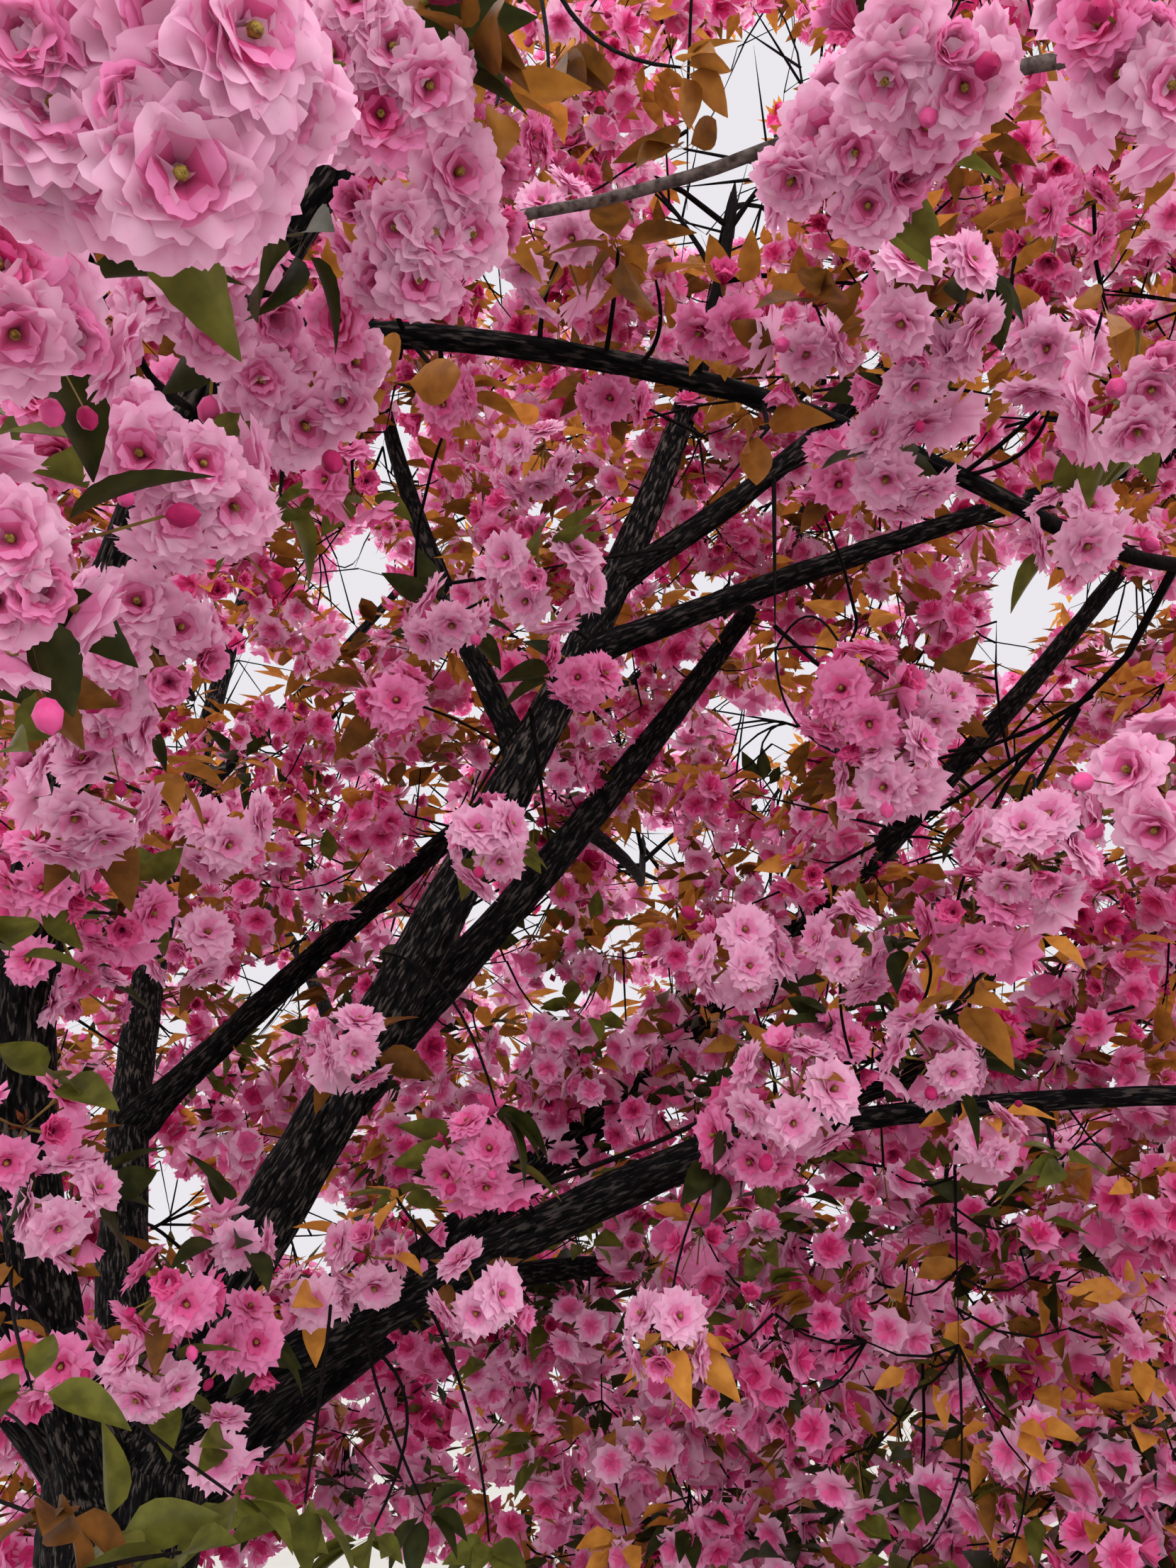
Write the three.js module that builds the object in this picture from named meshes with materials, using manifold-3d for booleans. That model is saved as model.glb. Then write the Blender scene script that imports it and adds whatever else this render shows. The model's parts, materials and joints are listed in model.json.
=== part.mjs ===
// Double-flowered ornamental cherry in full blossom, a small spreading tree about 5 m tall.
// Millimetres, +Z up. The origin is the middle of the flat cut under the trunk, at ground level.
import * as THREE from "three";
import { mergeVertices } from "three/addons/utils/BufferGeometryUtils.js";
import Module from "manifold-3d";

const wasm = await Module();
wasm.setup();

const DEGREE = Math.PI / 180;
const UP = new THREE.Vector3(0, 0, 1);

// Clearances between neighbouring pieces, and the size of an edge too short to keep
const JOINT_GAP = 0.3;
const LIMB_CLEARANCE = 2;
const MASS_CLEARANCE = 2;
const SLIVER = 0.01;

// Trunk: leans a little towards -X, with a flared foot of five soft lobes and a swollen head
const TRUNK = { name: "trunk", bearing: [150, 150], rise: [88, 86], length: 1480 };
const TRUNK_SIDES = 20;
const TRUNK_HEIGHTS = [0, 50, 120, 230, 450, 900, 1280, 1400, 1490, 1550, 1580];
const TRUNK_DIAMETER_LOW = 212;
const TRUNK_DIAMETER_HIGH = 198;
const FLARE = { width: 58, height: 120, lobes: 5, lobeShare: 0.3 };
const HEAD = { from: 1280, top: 1580, swell: 16, rounding: 0.86 };

// Limbs: name, parent, place on the parent from its foot to its tip, bearings, rises, length, diameters.
// Bearing turns from +X towards +Y. Each pair holds the value at the foot and at the tip, in degrees or mm.
const limb = (name, parent, at, bearing, rise, length, diameter) => {
  return { name, parent, at, bearing, rise, length, diameter };
};
const LIMBS = [
  limb("main_bough", "trunk", 0.96, [-46, 13], [49, 74], 2000, [104, 42]),
  limb("near_bough", "trunk", 0.92, [-105, -26], [44, 42], 2150, [84, 42]),
  limb("leader_bough", "trunk", 0.99, [128, 84], [52, 78], 2300, [88, 38]),
  limb("low_bough", "trunk", 0.97, [-29, 31], [29, 18], 1650, [80, 34]),
  limb("low_far_bough", "trunk", 0.88, [62, 70], [34, -6], 1900, [66, 30]),
  limb("low_left_bough", "trunk", 0.86, [122, 112], [32, -4], 1800, [66, 30]),
  limb("back_right_bough", "trunk", 0.95, [14, 3], [36, 51], 2700, [78, 36]),
  limb("back_bough", "trunk", 0.94, [80, 70], [52, 46], 2200, [72, 32]),
  limb("back_left_bough", "trunk", 0.97, [162, 166], [46, 42], 2150, [72, 32]),
  limb("left_bough", "trunk", 0.93, [194, 190], [42, 36], 2100, [76, 32]),
  limb("front_left_bough", "trunk", 0.965, [224, 234], [48, 38], 2000, [74, 32]),
  limb("right_bough", "main_bough", 0.7, [-8, 6], [20, 22], 1050, [44, 26]),
  limb("middle_bough", "main_bough", 0.32, [22, 26], [50, 58], 1350, [66, 36]),
  limb("twin_bough", "main_bough", 0.78, [-6, 2], [32, 62], 1050, [40, 26]),
  limb("top_branch", "main_bough", 0.6, [160, 130], [64, 72], 1150, [42, 26]),
  limb("near_right_branch", "near_bough", 0.77, [2, 22], [6, -17], 870, [28, 18]),
  limb("near_left_branch", "near_bough", 0.55, [-120, -150], [45, 30], 800, [34, 20]),
  limb("near_low_branch", "near_bough", 0.34, [-150, -120], [16, 8], 650, [30, 18]),
  limb("far_bough", "leader_bough", 0.26, [6, 14], [49, 44], 1750, [56, 30]),
  limb("leader_left_branch", "leader_bough", 0.5, [185, 200], [50, 55], 850, [40, 24]),
  limb("leader_right_branch", "leader_bough", 0.66, [40, 24], [56, 60], 900, [36, 24]),
  limb("middle_low_branch", "middle_bough", 0.45, [70, 86], [8, 14], 620, [30, 18]),
  limb("low_back_branch", "low_bough", 0.3, [54, 42], [10, -4], 1200, [40, 24]),
  limb("low_front_branch", "low_bough", 0.62, [-25, -20], [6, -6], 850, [34, 22]),
  limb("back_right_branch", "back_right_bough", 0.45, [62, 70], [38, 40], 1100, [40, 24]),
  limb("back_branch", "back_bough", 0.45, [115, 125], [38, 35], 1000, [38, 24]),
  limb("back_left_branch", "back_left_bough", 0.45, [130, 120], [30, 34], 1000, [38, 24]),
  limb("left_branch", "left_bough", 0.42, [225, 232], [26, 24], 1050, [38, 24]),
  limb("front_left_branch", "front_left_bough", 0.5, [262, 275], [30, 28], 900, [36, 24]),
];
const PATH_STEPS = 12;
const LONG_LIMB = 1200;
const THICK_LIMB = 60;
const THICK_SIDES = 7;
const THIN_SIDES = 6;

// Crown: every mass keeps inside this outline, a dome above and a flatter, drooping skirt below,
// and out of the hollow under its front edge
const CROWN = { centre: new THREE.Vector3(60, 0, 3050), across: 2800, up: 2280, down: 2000 };
const CROWN_CURVE = { up: 2, down: 4 };
const HOLLOW = { centre: new THREE.Vector3(600, -1950, 1600), radius: 480 };

// Masses: the middle of each lies past its limb's tip by along, and above it by lift
const MASS = { along: 420, lift: 180, reach: 1300 };
const MASS_SEED = 41;
const SEEDS_A_MASS = 100;

// Shoots in a mass: a bare twig that soon carries blossom all round it, up to its tip.
// A shoot leaves an earlier one that points nearly its way, or else the stem.
const SHOOTS = 6;
const SHOOT_SIDES = 5;
const SAME_WAY = 0.55;
const ROOT_ON_STEM = [0.5, 0.95];
const ROOT_ON_SHOOT = [0.3, 0.45];
const SHORTEST_REACH = 250;
const TIP_MARGIN = 45;
const CURVE_LEAD = 0.45;
const STEM_END_DIAMETER = 26;
const BLOSSOM_RADIUS = [160, 200];
const BLOSSOM_WAVE = [0.85, 1.15];
const SLIMMING = [1, 0.75, 0.5];
const SHOOT_PROFILE = [
  { share: 0, width: 0.07 },
  { share: 0.4, width: 0.66 },
  { share: 0.78, width: 1 },
  { share: 1, width: 0.3 },
];

// Sprays of leaves that stand out of the blossom
const LEAF_SPRAY = { length: [240, 320], width: 0.4, thickness: 0.05, sunk: 0.3 };
const LEAF_PLACES = [0.95, 0.6];

// The same stream of numbers from 0 to 1 for the same seed
function seededRandom(seed) {
  let state = seed >>> 0;
  return () => {
    state = (state + 0x6d2b79f5) >>> 0;
    let mixed = Math.imul(state ^ (state >>> 15), state | 1);
    mixed ^= mixed + Math.imul(mixed ^ (mixed >>> 7), mixed | 61);
    return ((mixed ^ (mixed >>> 14)) >>> 0) / 4294967296;
  };
}

const blend = (pair, share) => pair[0] + (pair[1] - pair[0]) * share;

// Solids from three.js geometry and back
function solidOf(geometry) {
  const bare = geometry.clone();
  bare.deleteAttribute("normal");
  bare.deleteAttribute("uv");
  const merged = mergeVertices(bare, 1e-4);
  return new wasm.Manifold(
    new wasm.Mesh({
      numProp: 3,
      vertProperties: merged.attributes.position.array,
      triVerts: new Uint32Array(merged.index.array),
    }),
  );
}

function meshOf(solid, name, material, origin) {
  const { numVert, numProp, vertProperties, triVerts } = solid.getMesh();
  const corners = new Float32Array(numVert * 3);
  for (let i = 0; i < numVert; i++) corners.set(vertProperties.subarray(i * numProp, i * numProp + 3), i * 3);
  const geometry = new THREE.BufferGeometry();
  geometry.setAttribute("position", new THREE.BufferAttribute(corners, 3));
  geometry.setIndex(new THREE.BufferAttribute(triVerts, 1));
  geometry.translate(-origin.x, -origin.y, -origin.z);
  geometry.computeVertexNormals();
  const mesh = new THREE.Mesh(geometry, material);
  mesh.name = name;
  mesh.position.copy(origin);
  return mesh;
}

// The largest closed body, with any sealed hollow in it filled
function mainBody(solid) {
  const bodies = solid.decompose().sort((a, b) => b.volume() - a.volume());
  return bodies[0];
}

function cornersOf(geometry) {
  const place = geometry.attributes.position;
  return Array.from({ length: place.count }, (_, i) => new THREE.Vector3().fromBufferAttribute(place, i));
}

// Limb paths
function headingAt(row, share) {
  const bearing = blend(row.bearing, share) * DEGREE;
  const rise = blend(row.rise, share) * DEGREE;
  const level = Math.cos(rise);
  return new THREE.Vector3(level * Math.cos(bearing), level * Math.sin(bearing), Math.sin(rise));
}

function pathOf(row, start) {
  const points = [start.clone()];
  for (let i = 0; i < PATH_STEPS; i++) {
    const step = headingAt(row, (i + 0.5) / PATH_STEPS).multiplyScalar(row.length / PATH_STEPS);
    points.push(points[i].clone().add(step));
  }
  return points;
}

function pointOn(path, share) {
  const along = share * PATH_STEPS;
  const before = Math.min(Math.floor(along), PATH_STEPS - 1);
  return path[before].clone().lerp(path[before + 1], along - before);
}

// A tapering round bar along rings, each with its middle, heading and radius
function taperedBar(rings, sides) {
  const steps = rings.length - 1;
  let across = UP.clone().cross(rings[0].heading);
  if (across.length() < 0.1) across.set(1, 0, 0);
  const frames = rings.map(({ heading }) => {
    across = across.clone().addScaledVector(heading, -across.dot(heading)).normalize();
    return { across, side: across.clone().cross(heading) };
  });
  const geometry = new THREE.CylinderGeometry(1, 1, 1, sides, steps);
  const place = geometry.attributes.position;
  for (let i = 0; i < place.count; i++) {
    const n = Math.round((place.getY(i) + 0.5) * steps);
    const { middle, radius } = rings[n];
    const corner = middle.clone();
    corner.addScaledVector(frames[n].across, place.getX(i) * radius);
    corner.addScaledVector(frames[n].side, place.getZ(i) * radius);
    place.setXYZ(i, corner.x, corner.y, corner.z);
  }
  return geometry;
}

// Trunk: level rings round its leaning middle line
function trunkRadius(height, angle) {
  const share = height / TRUNK.length;
  const taper = blend([TRUNK_DIAMETER_LOW, TRUNK_DIAMETER_HIGH], share) / 2;
  const lobe = 1 - FLARE.lobeShare + FLARE.lobeShare * Math.cos(FLARE.lobes * angle);
  const flare = FLARE.width * Math.exp(-height / FLARE.height) * lobe;
  const rounding = THREE.MathUtils.clamp((height - HEAD.from) / (HEAD.top - HEAD.from), 0, 1);
  const head = HEAD.swell * Math.sin(Math.PI * rounding);
  return (taper + flare + head) * Math.sqrt(1 - HEAD.rounding * rounding ** 4);
}

function trunkGeometry(path, grow) {
  const geometry = new THREE.CylinderGeometry(1, 1, 1, TRUNK_SIDES, TRUNK_HEIGHTS.length - 1);
  const place = geometry.attributes.position;
  const top = TRUNK_HEIGHTS.length - 1;
  for (let i = 0; i < place.count; i++) {
    const ring = Math.round((place.getY(i) + 0.5) * top);
    const height = TRUNK_HEIGHTS[ring];
    const middle = pointOn(path, height / TRUNK.length);
    const angle = Math.atan2(-place.getZ(i), place.getX(i));
    const radius = Math.hypot(place.getX(i), place.getZ(i)) * (trunkRadius(height, angle) + grow);
    const level = ring === top ? height + grow : height;
    place.setXYZ(i, middle.x + radius * Math.cos(angle), middle.y + radius * Math.sin(angle), level);
  }
  return geometry;
}

// Limbs: each starts on its parent's middle line and is cut clear of all that came before
function limbGeometry(row, path, grow) {
  const rings = [];
  const every = row.length > LONG_LIMB ? 2 : 3;
  for (let i = 0; i <= PATH_STEPS; i += every) {
    const share = i / PATH_STEPS;
    const radius = blend(row.diameter, share) / 2 + grow;
    rings.push({ middle: path[i], heading: headingAt(row, share), radius });
  }
  return taperedBar(rings, row.diameter[0] > THICK_LIMB ? THICK_SIDES : THIN_SIDES);
}

const trunkPath = pathOf(TRUNK, new THREE.Vector3());
const wood = [
  {
    name: TRUNK.name,
    path: trunkPath,
    body: solidOf(trunkGeometry(trunkPath, 0)),
    grown: solidOf(trunkGeometry(trunkPath, JOINT_GAP)),
    wide: solidOf(trunkGeometry(trunkPath, LIMB_CLEARANCE)),
  },
];
for (const row of LIMBS) {
  const parent = wood.find(({ name }) => name === row.parent);
  const path = pathOf(row, pointOn(parent.path, row.at));
  let body = solidOf(limbGeometry(row, path, 0));
  for (const { grown } of wood) body = body.subtract(grown);
  wood.push({
    name: row.name,
    row,
    path,
    body: mainBody(body).simplify(SLIVER),
    grown: solidOf(limbGeometry(row, path, JOINT_GAP)),
    wide: solidOf(limbGeometry(row, path, LIMB_CLEARANCE)),
  });
}

// Masses: each owns the points that are nearest to its middle, within its reach
const masses = wood.slice(1).map(({ row, path }, index) => {
  const heading = headingAt(row, 1);
  const tip = path[PATH_STEPS];
  const centre = tip.clone().addScaledVector(heading, MASS.along).addScaledVector(UP, MASS.lift);
  return { name: row.name + "_blossom", index, tip, heading, centre, tipDiameter: row.diameter[1] };
});

function inCrown(point) {
  const { centre, across, up, down } = CROWN;
  const offset = point.clone().sub(centre);
  const level = (offset.x / across) ** 2 + (offset.y / across) ** 2;
  const rise = offset.z > 0 ? (offset.z / up) ** CROWN_CURVE.up : (-offset.z / down) ** CROWN_CURVE.down;
  return level + rise < 1;
}

function inMass(mass, point) {
  const off = point.distanceToSquared(mass.centre);
  if (off > MASS.reach ** 2 || !inCrown(point)) return false;
  if (point.distanceTo(HOLLOW.centre) < HOLLOW.radius) return false;
  return masses.every((other) => {
    const gap = 2 * MASS_CLEARANCE * mass.centre.distanceTo(other.centre);
    return other === mass || off + gap < point.distanceToSquared(other.centre);
  });
}

const REACH_STEP = 10;
function reachAlong(mass, direction) {
  let far = 0;
  while (inMass(mass, mass.centre.clone().addScaledVector(direction, far + REACH_STEP))) far += REACH_STEP;
  return far;
}

// Directions spread evenly over a sphere, however many are taken
const SPREAD_TURN = 0.5698402910;
const SPREAD_HEIGHT = 0.7548776662;
function spreadDirection(n, shift) {
  const height = 1 - 2 * ((shift + n * SPREAD_HEIGHT) % 1);
  const angle = 2 * Math.PI * ((2 * shift + n * SPREAD_TURN) % 1);
  const level = Math.sqrt(1 - height * height);
  return new THREE.Vector3(level * Math.cos(angle), level * Math.sin(angle), height);
}

// A curve that leaves start along heading and ends at end
function curveTo(start, heading, end) {
  const lead = start.clone().addScaledVector(heading, start.distanceTo(end) * CURVE_LEAD);
  return new THREE.QuadraticBezierCurve3(start, lead, end);
}

function ringOn(curve, share, radius) {
  return { middle: curve.getPoint(share), heading: curve.getTangent(share), radius };
}

function stemGeometry(curve, diameters) {
  const rings = [0, 0.5, 1].map((share) => ringOn(curve, share, blend(diameters, share) / 2));
  return taperedBar(rings, THIN_SIDES);
}

function shootGeometry(curve, radius, wave) {
  const rings = SHOOT_PROFILE.map(({ share, width }, n) => {
    return ringOn(curve, share, radius * width * blend(BLOSSOM_WAVE, wave[n]));
  });
  return taperedBar(rings, SHOOT_SIDES);
}

function leafSprayGeometry(root, direction, length, turn) {
  const geometry = new THREE.OctahedronGeometry(0.5, 0);
  geometry.scale(length, length * LEAF_SPRAY.width, length * LEAF_SPRAY.thickness);
  geometry.translate(length / 2, 0, 0);
  geometry.rotateX(turn);
  geometry.applyQuaternion(new THREE.Quaternion().setFromUnitVectors(new THREE.Vector3(1, 0, 0), direction));
  geometry.translate(root.x, root.y, root.z);
  return geometry;
}

// A mass: one stem and its shoots, every other one with a spray of leaves
const allWood = wasm.Manifold.union(wood.map(({ wide }) => wide));

function massSolid(mass) {
  const seed = MASS_SEED + SEEDS_A_MASS * mass.index;
  const turn = seededRandom(seed)();
  const outward = mass.centre.clone().sub(CROWN.centre).normalize();
  const foot = mass.tip.clone().addScaledVector(mass.heading, JOINT_GAP);
  const stem = curveTo(foot, mass.heading, mass.centre);
  const pieces = [solidOf(stemGeometry(stem, [mass.tipDiameter, STEM_END_DIAMETER]))];

  function keep(geometry) {
    if (!cornersOf(geometry).every((corner) => inMass(mass, corner))) return false;
    const solid = solidOf(geometry);
    if (!solid.intersect(allWood).isEmpty()) return false;
    pieces.push(solid);
    return true;
  }

  const shoots = [];
  for (let n = 0; n < SHOOTS; n++) {
    const random = seededRandom(seed + 1 + n);
    const direction = n ? spreadDirection(n, turn) : outward;
    const reach = reachAlong(mass, direction);
    if (reach < SHORTEST_REACH) continue;
    const near = shoots.filter((shoot) => shoot.direction.dot(direction) > SAME_WAY);
    near.sort((a, b) => b.direction.dot(direction) - a.direction.dot(direction));
    const parent = near.length ? near[0].curve : stem;
    const rootShare = blend(near.length ? ROOT_ON_SHOOT : ROOT_ON_STEM, random());
    const end = mass.centre.clone().addScaledVector(direction, reach - TIP_MARGIN);
    const heading = direction.clone().add(parent.getTangent(rootShare)).normalize();
    const curve = curveTo(parent.getPoint(rootShare), heading, end);
    const wave = SHOOT_PROFILE.map(random);
    const radii = SLIMMING.map((slim) => slim * blend(BLOSSOM_RADIUS, random()));
    const radius = radii.find((tried) => keep(shootGeometry(curve, tried, wave)));
    if (!radius) continue;
    shoots.push({ direction, curve });
    if (n % 2) continue;
    const leafDirection = spreadDirection(n + SHOOTS, random());
    const leafPlace = curve.getPoint(LEAF_PLACES[(n / 2) % LEAF_PLACES.length]);
    const root = leafPlace.addScaledVector(leafDirection, radius * LEAF_SPRAY.sunk);
    keep(leafSprayGeometry(root, leafDirection, blend(LEAF_SPRAY.length, random()), Math.PI * random()));
  }
  return mainBody(wasm.Manifold.union(pieces)).simplify(SLIVER);
}

// Materials
const bark = new THREE.MeshStandardMaterial({ color: 0x4b4347, roughness: 0.92, metalness: 0 });
const blossom = new THREE.MeshStandardMaterial({ color: 0xdb8fbc, roughness: 0.8, metalness: 0 });

// The tree
const tree = new THREE.Group();
const limbs = new THREE.Group();
for (const { name, path, body } of wood) limbs.add(meshOf(body, name, bark, path[0]));
const crown = new THREE.Group();
for (const mass of masses) crown.add(meshOf(massSolid(mass), mass.name, blossom, mass.centre));
tree.add(limbs, crown);

export default tree;
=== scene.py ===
"""Small double-flowered cherry in full blossom, seen from under the edge of its crown. Metres, +Z up."""

import json
import math

import bpy
import numpy as np
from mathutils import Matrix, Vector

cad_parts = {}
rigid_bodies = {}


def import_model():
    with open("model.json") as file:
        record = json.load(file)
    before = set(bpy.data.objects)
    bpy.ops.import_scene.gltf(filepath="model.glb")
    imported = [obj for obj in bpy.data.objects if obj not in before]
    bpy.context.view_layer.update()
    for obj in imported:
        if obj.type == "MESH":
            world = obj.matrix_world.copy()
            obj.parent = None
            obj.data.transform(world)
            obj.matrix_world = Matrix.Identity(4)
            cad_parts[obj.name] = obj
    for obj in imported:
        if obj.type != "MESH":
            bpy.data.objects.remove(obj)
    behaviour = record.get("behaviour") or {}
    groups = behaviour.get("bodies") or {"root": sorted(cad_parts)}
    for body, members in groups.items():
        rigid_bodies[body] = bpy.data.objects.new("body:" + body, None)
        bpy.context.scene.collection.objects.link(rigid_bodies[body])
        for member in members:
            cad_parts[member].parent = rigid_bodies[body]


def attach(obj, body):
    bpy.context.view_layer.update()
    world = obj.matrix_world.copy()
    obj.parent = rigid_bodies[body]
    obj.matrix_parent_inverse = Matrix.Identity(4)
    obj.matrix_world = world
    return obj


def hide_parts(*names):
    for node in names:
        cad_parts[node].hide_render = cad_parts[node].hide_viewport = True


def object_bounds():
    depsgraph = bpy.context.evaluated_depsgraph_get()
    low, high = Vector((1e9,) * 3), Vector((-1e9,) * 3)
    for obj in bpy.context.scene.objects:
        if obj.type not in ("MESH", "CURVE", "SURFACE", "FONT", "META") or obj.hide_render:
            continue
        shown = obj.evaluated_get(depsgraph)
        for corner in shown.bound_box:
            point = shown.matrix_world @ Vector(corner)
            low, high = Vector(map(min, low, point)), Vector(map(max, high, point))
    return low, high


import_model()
loaded_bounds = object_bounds()
CAD_LOW, CAD_HIGH = (np.array(corner) for corner in loaded_bounds)

UP = np.array([0.0, 0.0, 1.0])
FULL_TURN = 2 * math.pi
GOLDEN_TURN = math.pi * (3 - math.sqrt(5))
RNG = np.random.default_rng(20)

# Viewer: where the photograph was taken from, and its frame
EYE = np.array([0.60, -1.95, 1.60])
PITCH = math.radians(25)
PHOTO_WIDTH, PHOTO_HEIGHT = 1659, 2212
PHOTO_FOCAL = 1690.0
SENSOR = 36.0
AHEAD = np.array([0, math.cos(PITCH), math.sin(PITCH)])
RIGHTWARD = np.array([1.0, 0.0, 0.0])
UPWARD = np.cross(RIGHTWARD, AHEAD)
LEAST_DEPTH, NEAREST_DEPTH = 0.01, 0.05
FRAME_MARGIN = 60


def in_photo(points):
    """Pixel across, pixel down and depth of points, in the photograph's frame."""
    offset = np.atleast_2d(points) - EYE
    depth = offset @ AHEAD
    safe = np.where(np.abs(depth) < LEAST_DEPTH, LEAST_DEPTH, depth)
    across = PHOTO_WIDTH / 2 + PHOTO_FOCAL * (offset @ RIGHTWARD) / safe
    down = PHOTO_HEIGHT / 2 - PHOTO_FOCAL * (offset @ UPWARD) / safe
    return across, down, depth


def at_pixel(across, down, distance):
    """The point at a distance from the viewer, behind a pixel of the photograph."""
    ray = AHEAD + RIGHTWARD * (across - PHOTO_WIDTH / 2) / PHOTO_FOCAL
    ray = ray - UPWARD * (down - PHOTO_HEIGHT / 2) / PHOTO_FOCAL
    return EYE + distance * ray / np.linalg.norm(ray)


def in_frame(points, margin=FRAME_MARGIN):
    """Whether points stand before the viewer and in the photograph's frame, or little outside it."""
    across, down, depth = in_photo(points)
    wide = (across > -margin) & (across < PHOTO_WIDTH + margin)
    tall = (down > -margin) & (down < PHOTO_HEIGHT + margin)
    return wide & tall & (depth > NEAREST_DEPTH)


def unit(vectors):
    vectors = np.asarray(vectors, float)
    return vectors / np.maximum(np.linalg.norm(vectors, axis=-1, keepdims=True), 1e-9)


def blend(pair, share):
    return pair[0] + (pair[1] - pair[0]) * share


def evenly(path, steps, stations):
    """Points of a path at steps, read between its own points at stations."""
    return np.stack([np.interp(steps, stations, path[:, axis]) for axis in range(3)], -1)


def clamp(values):
    return np.clip(values, 0, 1)


def turns(sides):
    """Angles of a ring of corners, evenly round."""
    return np.arange(sides) * FULL_TURN / sides


def random_turns(count):
    """Random angles all round."""
    return RNG.uniform(0, FULL_TURN, count)


def from_eye(points):
    return np.linalg.norm(points - EYE, axis=1)


# Limbs: name, parent, place on the parent, bearings, rises, length, diameters, as in the solids
PATH_STEPS = 12
LIMBS = [
    ("trunk", None, 0, (150, 150), (88, 86), 1.480, (0.212, 0.198)),
    ("main_bough", "trunk", 0.96, (-46, 13), (49, 74), 2.000, (0.104, 0.042)),
    ("near_bough", "trunk", 0.92, (-105, -26), (44, 42), 2.150, (0.084, 0.042)),
    ("leader_bough", "trunk", 0.99, (128, 84), (52, 78), 2.300, (0.088, 0.038)),
    ("low_bough", "trunk", 0.97, (-29, 31), (29, 18), 1.650, (0.080, 0.034)),
    ("low_far_bough", "trunk", 0.88, (62, 70), (34, -6), 1.900, (0.066, 0.030)),
    ("low_left_bough", "trunk", 0.86, (122, 112), (32, -4), 1.800, (0.066, 0.030)),
    ("back_right_bough", "trunk", 0.95, (14, 3), (36, 51), 2.700, (0.078, 0.036)),
    ("back_bough", "trunk", 0.94, (80, 70), (52, 46), 2.200, (0.072, 0.032)),
    ("back_left_bough", "trunk", 0.97, (162, 166), (46, 42), 2.150, (0.072, 0.032)),
    ("left_bough", "trunk", 0.93, (194, 190), (42, 36), 2.100, (0.076, 0.032)),
    ("front_left_bough", "trunk", 0.965, (224, 234), (48, 38), 2.000, (0.074, 0.032)),
    ("right_bough", "main_bough", 0.7, (-8, 6), (20, 22), 1.050, (0.044, 0.026)),
    ("middle_bough", "main_bough", 0.32, (22, 26), (50, 58), 1.350, (0.066, 0.036)),
    ("twin_bough", "main_bough", 0.78, (-6, 2), (32, 62), 1.050, (0.040, 0.026)),
    ("top_branch", "main_bough", 0.6, (160, 130), (64, 72), 1.150, (0.042, 0.026)),
    ("near_right_branch", "near_bough", 0.77, (2, 22), (6, -17), 0.870, (0.028, 0.018)),
    ("near_left_branch", "near_bough", 0.55, (-120, -150), (45, 30), 0.800, (0.034, 0.020)),
    ("near_low_branch", "near_bough", 0.34, (-150, -120), (16, 8), 0.650, (0.030, 0.018)),
    ("far_bough", "leader_bough", 0.26, (6, 14), (49, 44), 1.750, (0.056, 0.030)),
    ("leader_left_branch", "leader_bough", 0.5, (185, 200), (50, 55), 0.850, (0.040, 0.024)),
    ("leader_right_branch", "leader_bough", 0.66, (40, 24), (56, 60), 0.900, (0.036, 0.024)),
    ("middle_low_branch", "middle_bough", 0.45, (70, 86), (8, 14), 0.620, (0.030, 0.018)),
    ("low_back_branch", "low_bough", 0.3, (54, 42), (10, -4), 1.200, (0.040, 0.024)),
    ("low_front_branch", "low_bough", 0.62, (-25, -20), (6, -6), 0.850, (0.034, 0.022)),
    ("back_right_branch", "back_right_bough", 0.45, (62, 70), (38, 40), 1.100, (0.040, 0.024)),
    ("back_branch", "back_bough", 0.45, (115, 125), (38, 35), 1.000, (0.038, 0.024)),
    ("back_left_branch", "back_left_bough", 0.45, (130, 120), (30, 34), 1.000, (0.038, 0.024)),
    ("left_branch", "left_bough", 0.42, (225, 232), (26, 24), 1.050, (0.038, 0.024)),
    ("front_left_branch", "front_left_bough", 0.5, (262, 275), (30, 28), 0.900, (0.036, 0.024)),
]


class Limb:
    """One tapering limb: its path of points and its diameters at foot and tip."""

    def __init__(self, name, parent, at, bearing, rise, length, diameter):
        self.name, self.parent, self.at = name, limbs.get(parent), at
        self.bearing, self.rise = bearing, rise
        self.length, self.diameter = length, diameter
        self.path = self.stepped(PATH_STEPS)

    def stepped(self, steps):
        """Points along the limb, each a step further along the heading between them."""
        start = self.parent.point(self.at) if self.parent else np.zeros(3)
        headings = self.heading((np.arange(steps) + 0.5) / steps)
        travelled = np.concatenate([np.zeros((1, 3)), np.cumsum(headings, 0)])
        return start + travelled * [self.length / steps]

    def heading(self, share):
        bearing = np.radians(blend(self.bearing, np.asarray(share, float)))
        rise = np.radians(blend(self.rise, np.asarray(share, float)))
        level = np.cos(rise)
        return np.stack([level * np.cos(bearing), level * np.sin(bearing), np.sin(rise)], -1)

    def point(self, share):
        return evenly(self.path, share, np.linspace(0, 1, len(self.path)))

    def radius(self, share):
        return blend(self.diameter, np.asarray(share, float)) / 2


limbs = {}
for row in LIMBS:
    limbs[row[0]] = Limb(*row)

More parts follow.
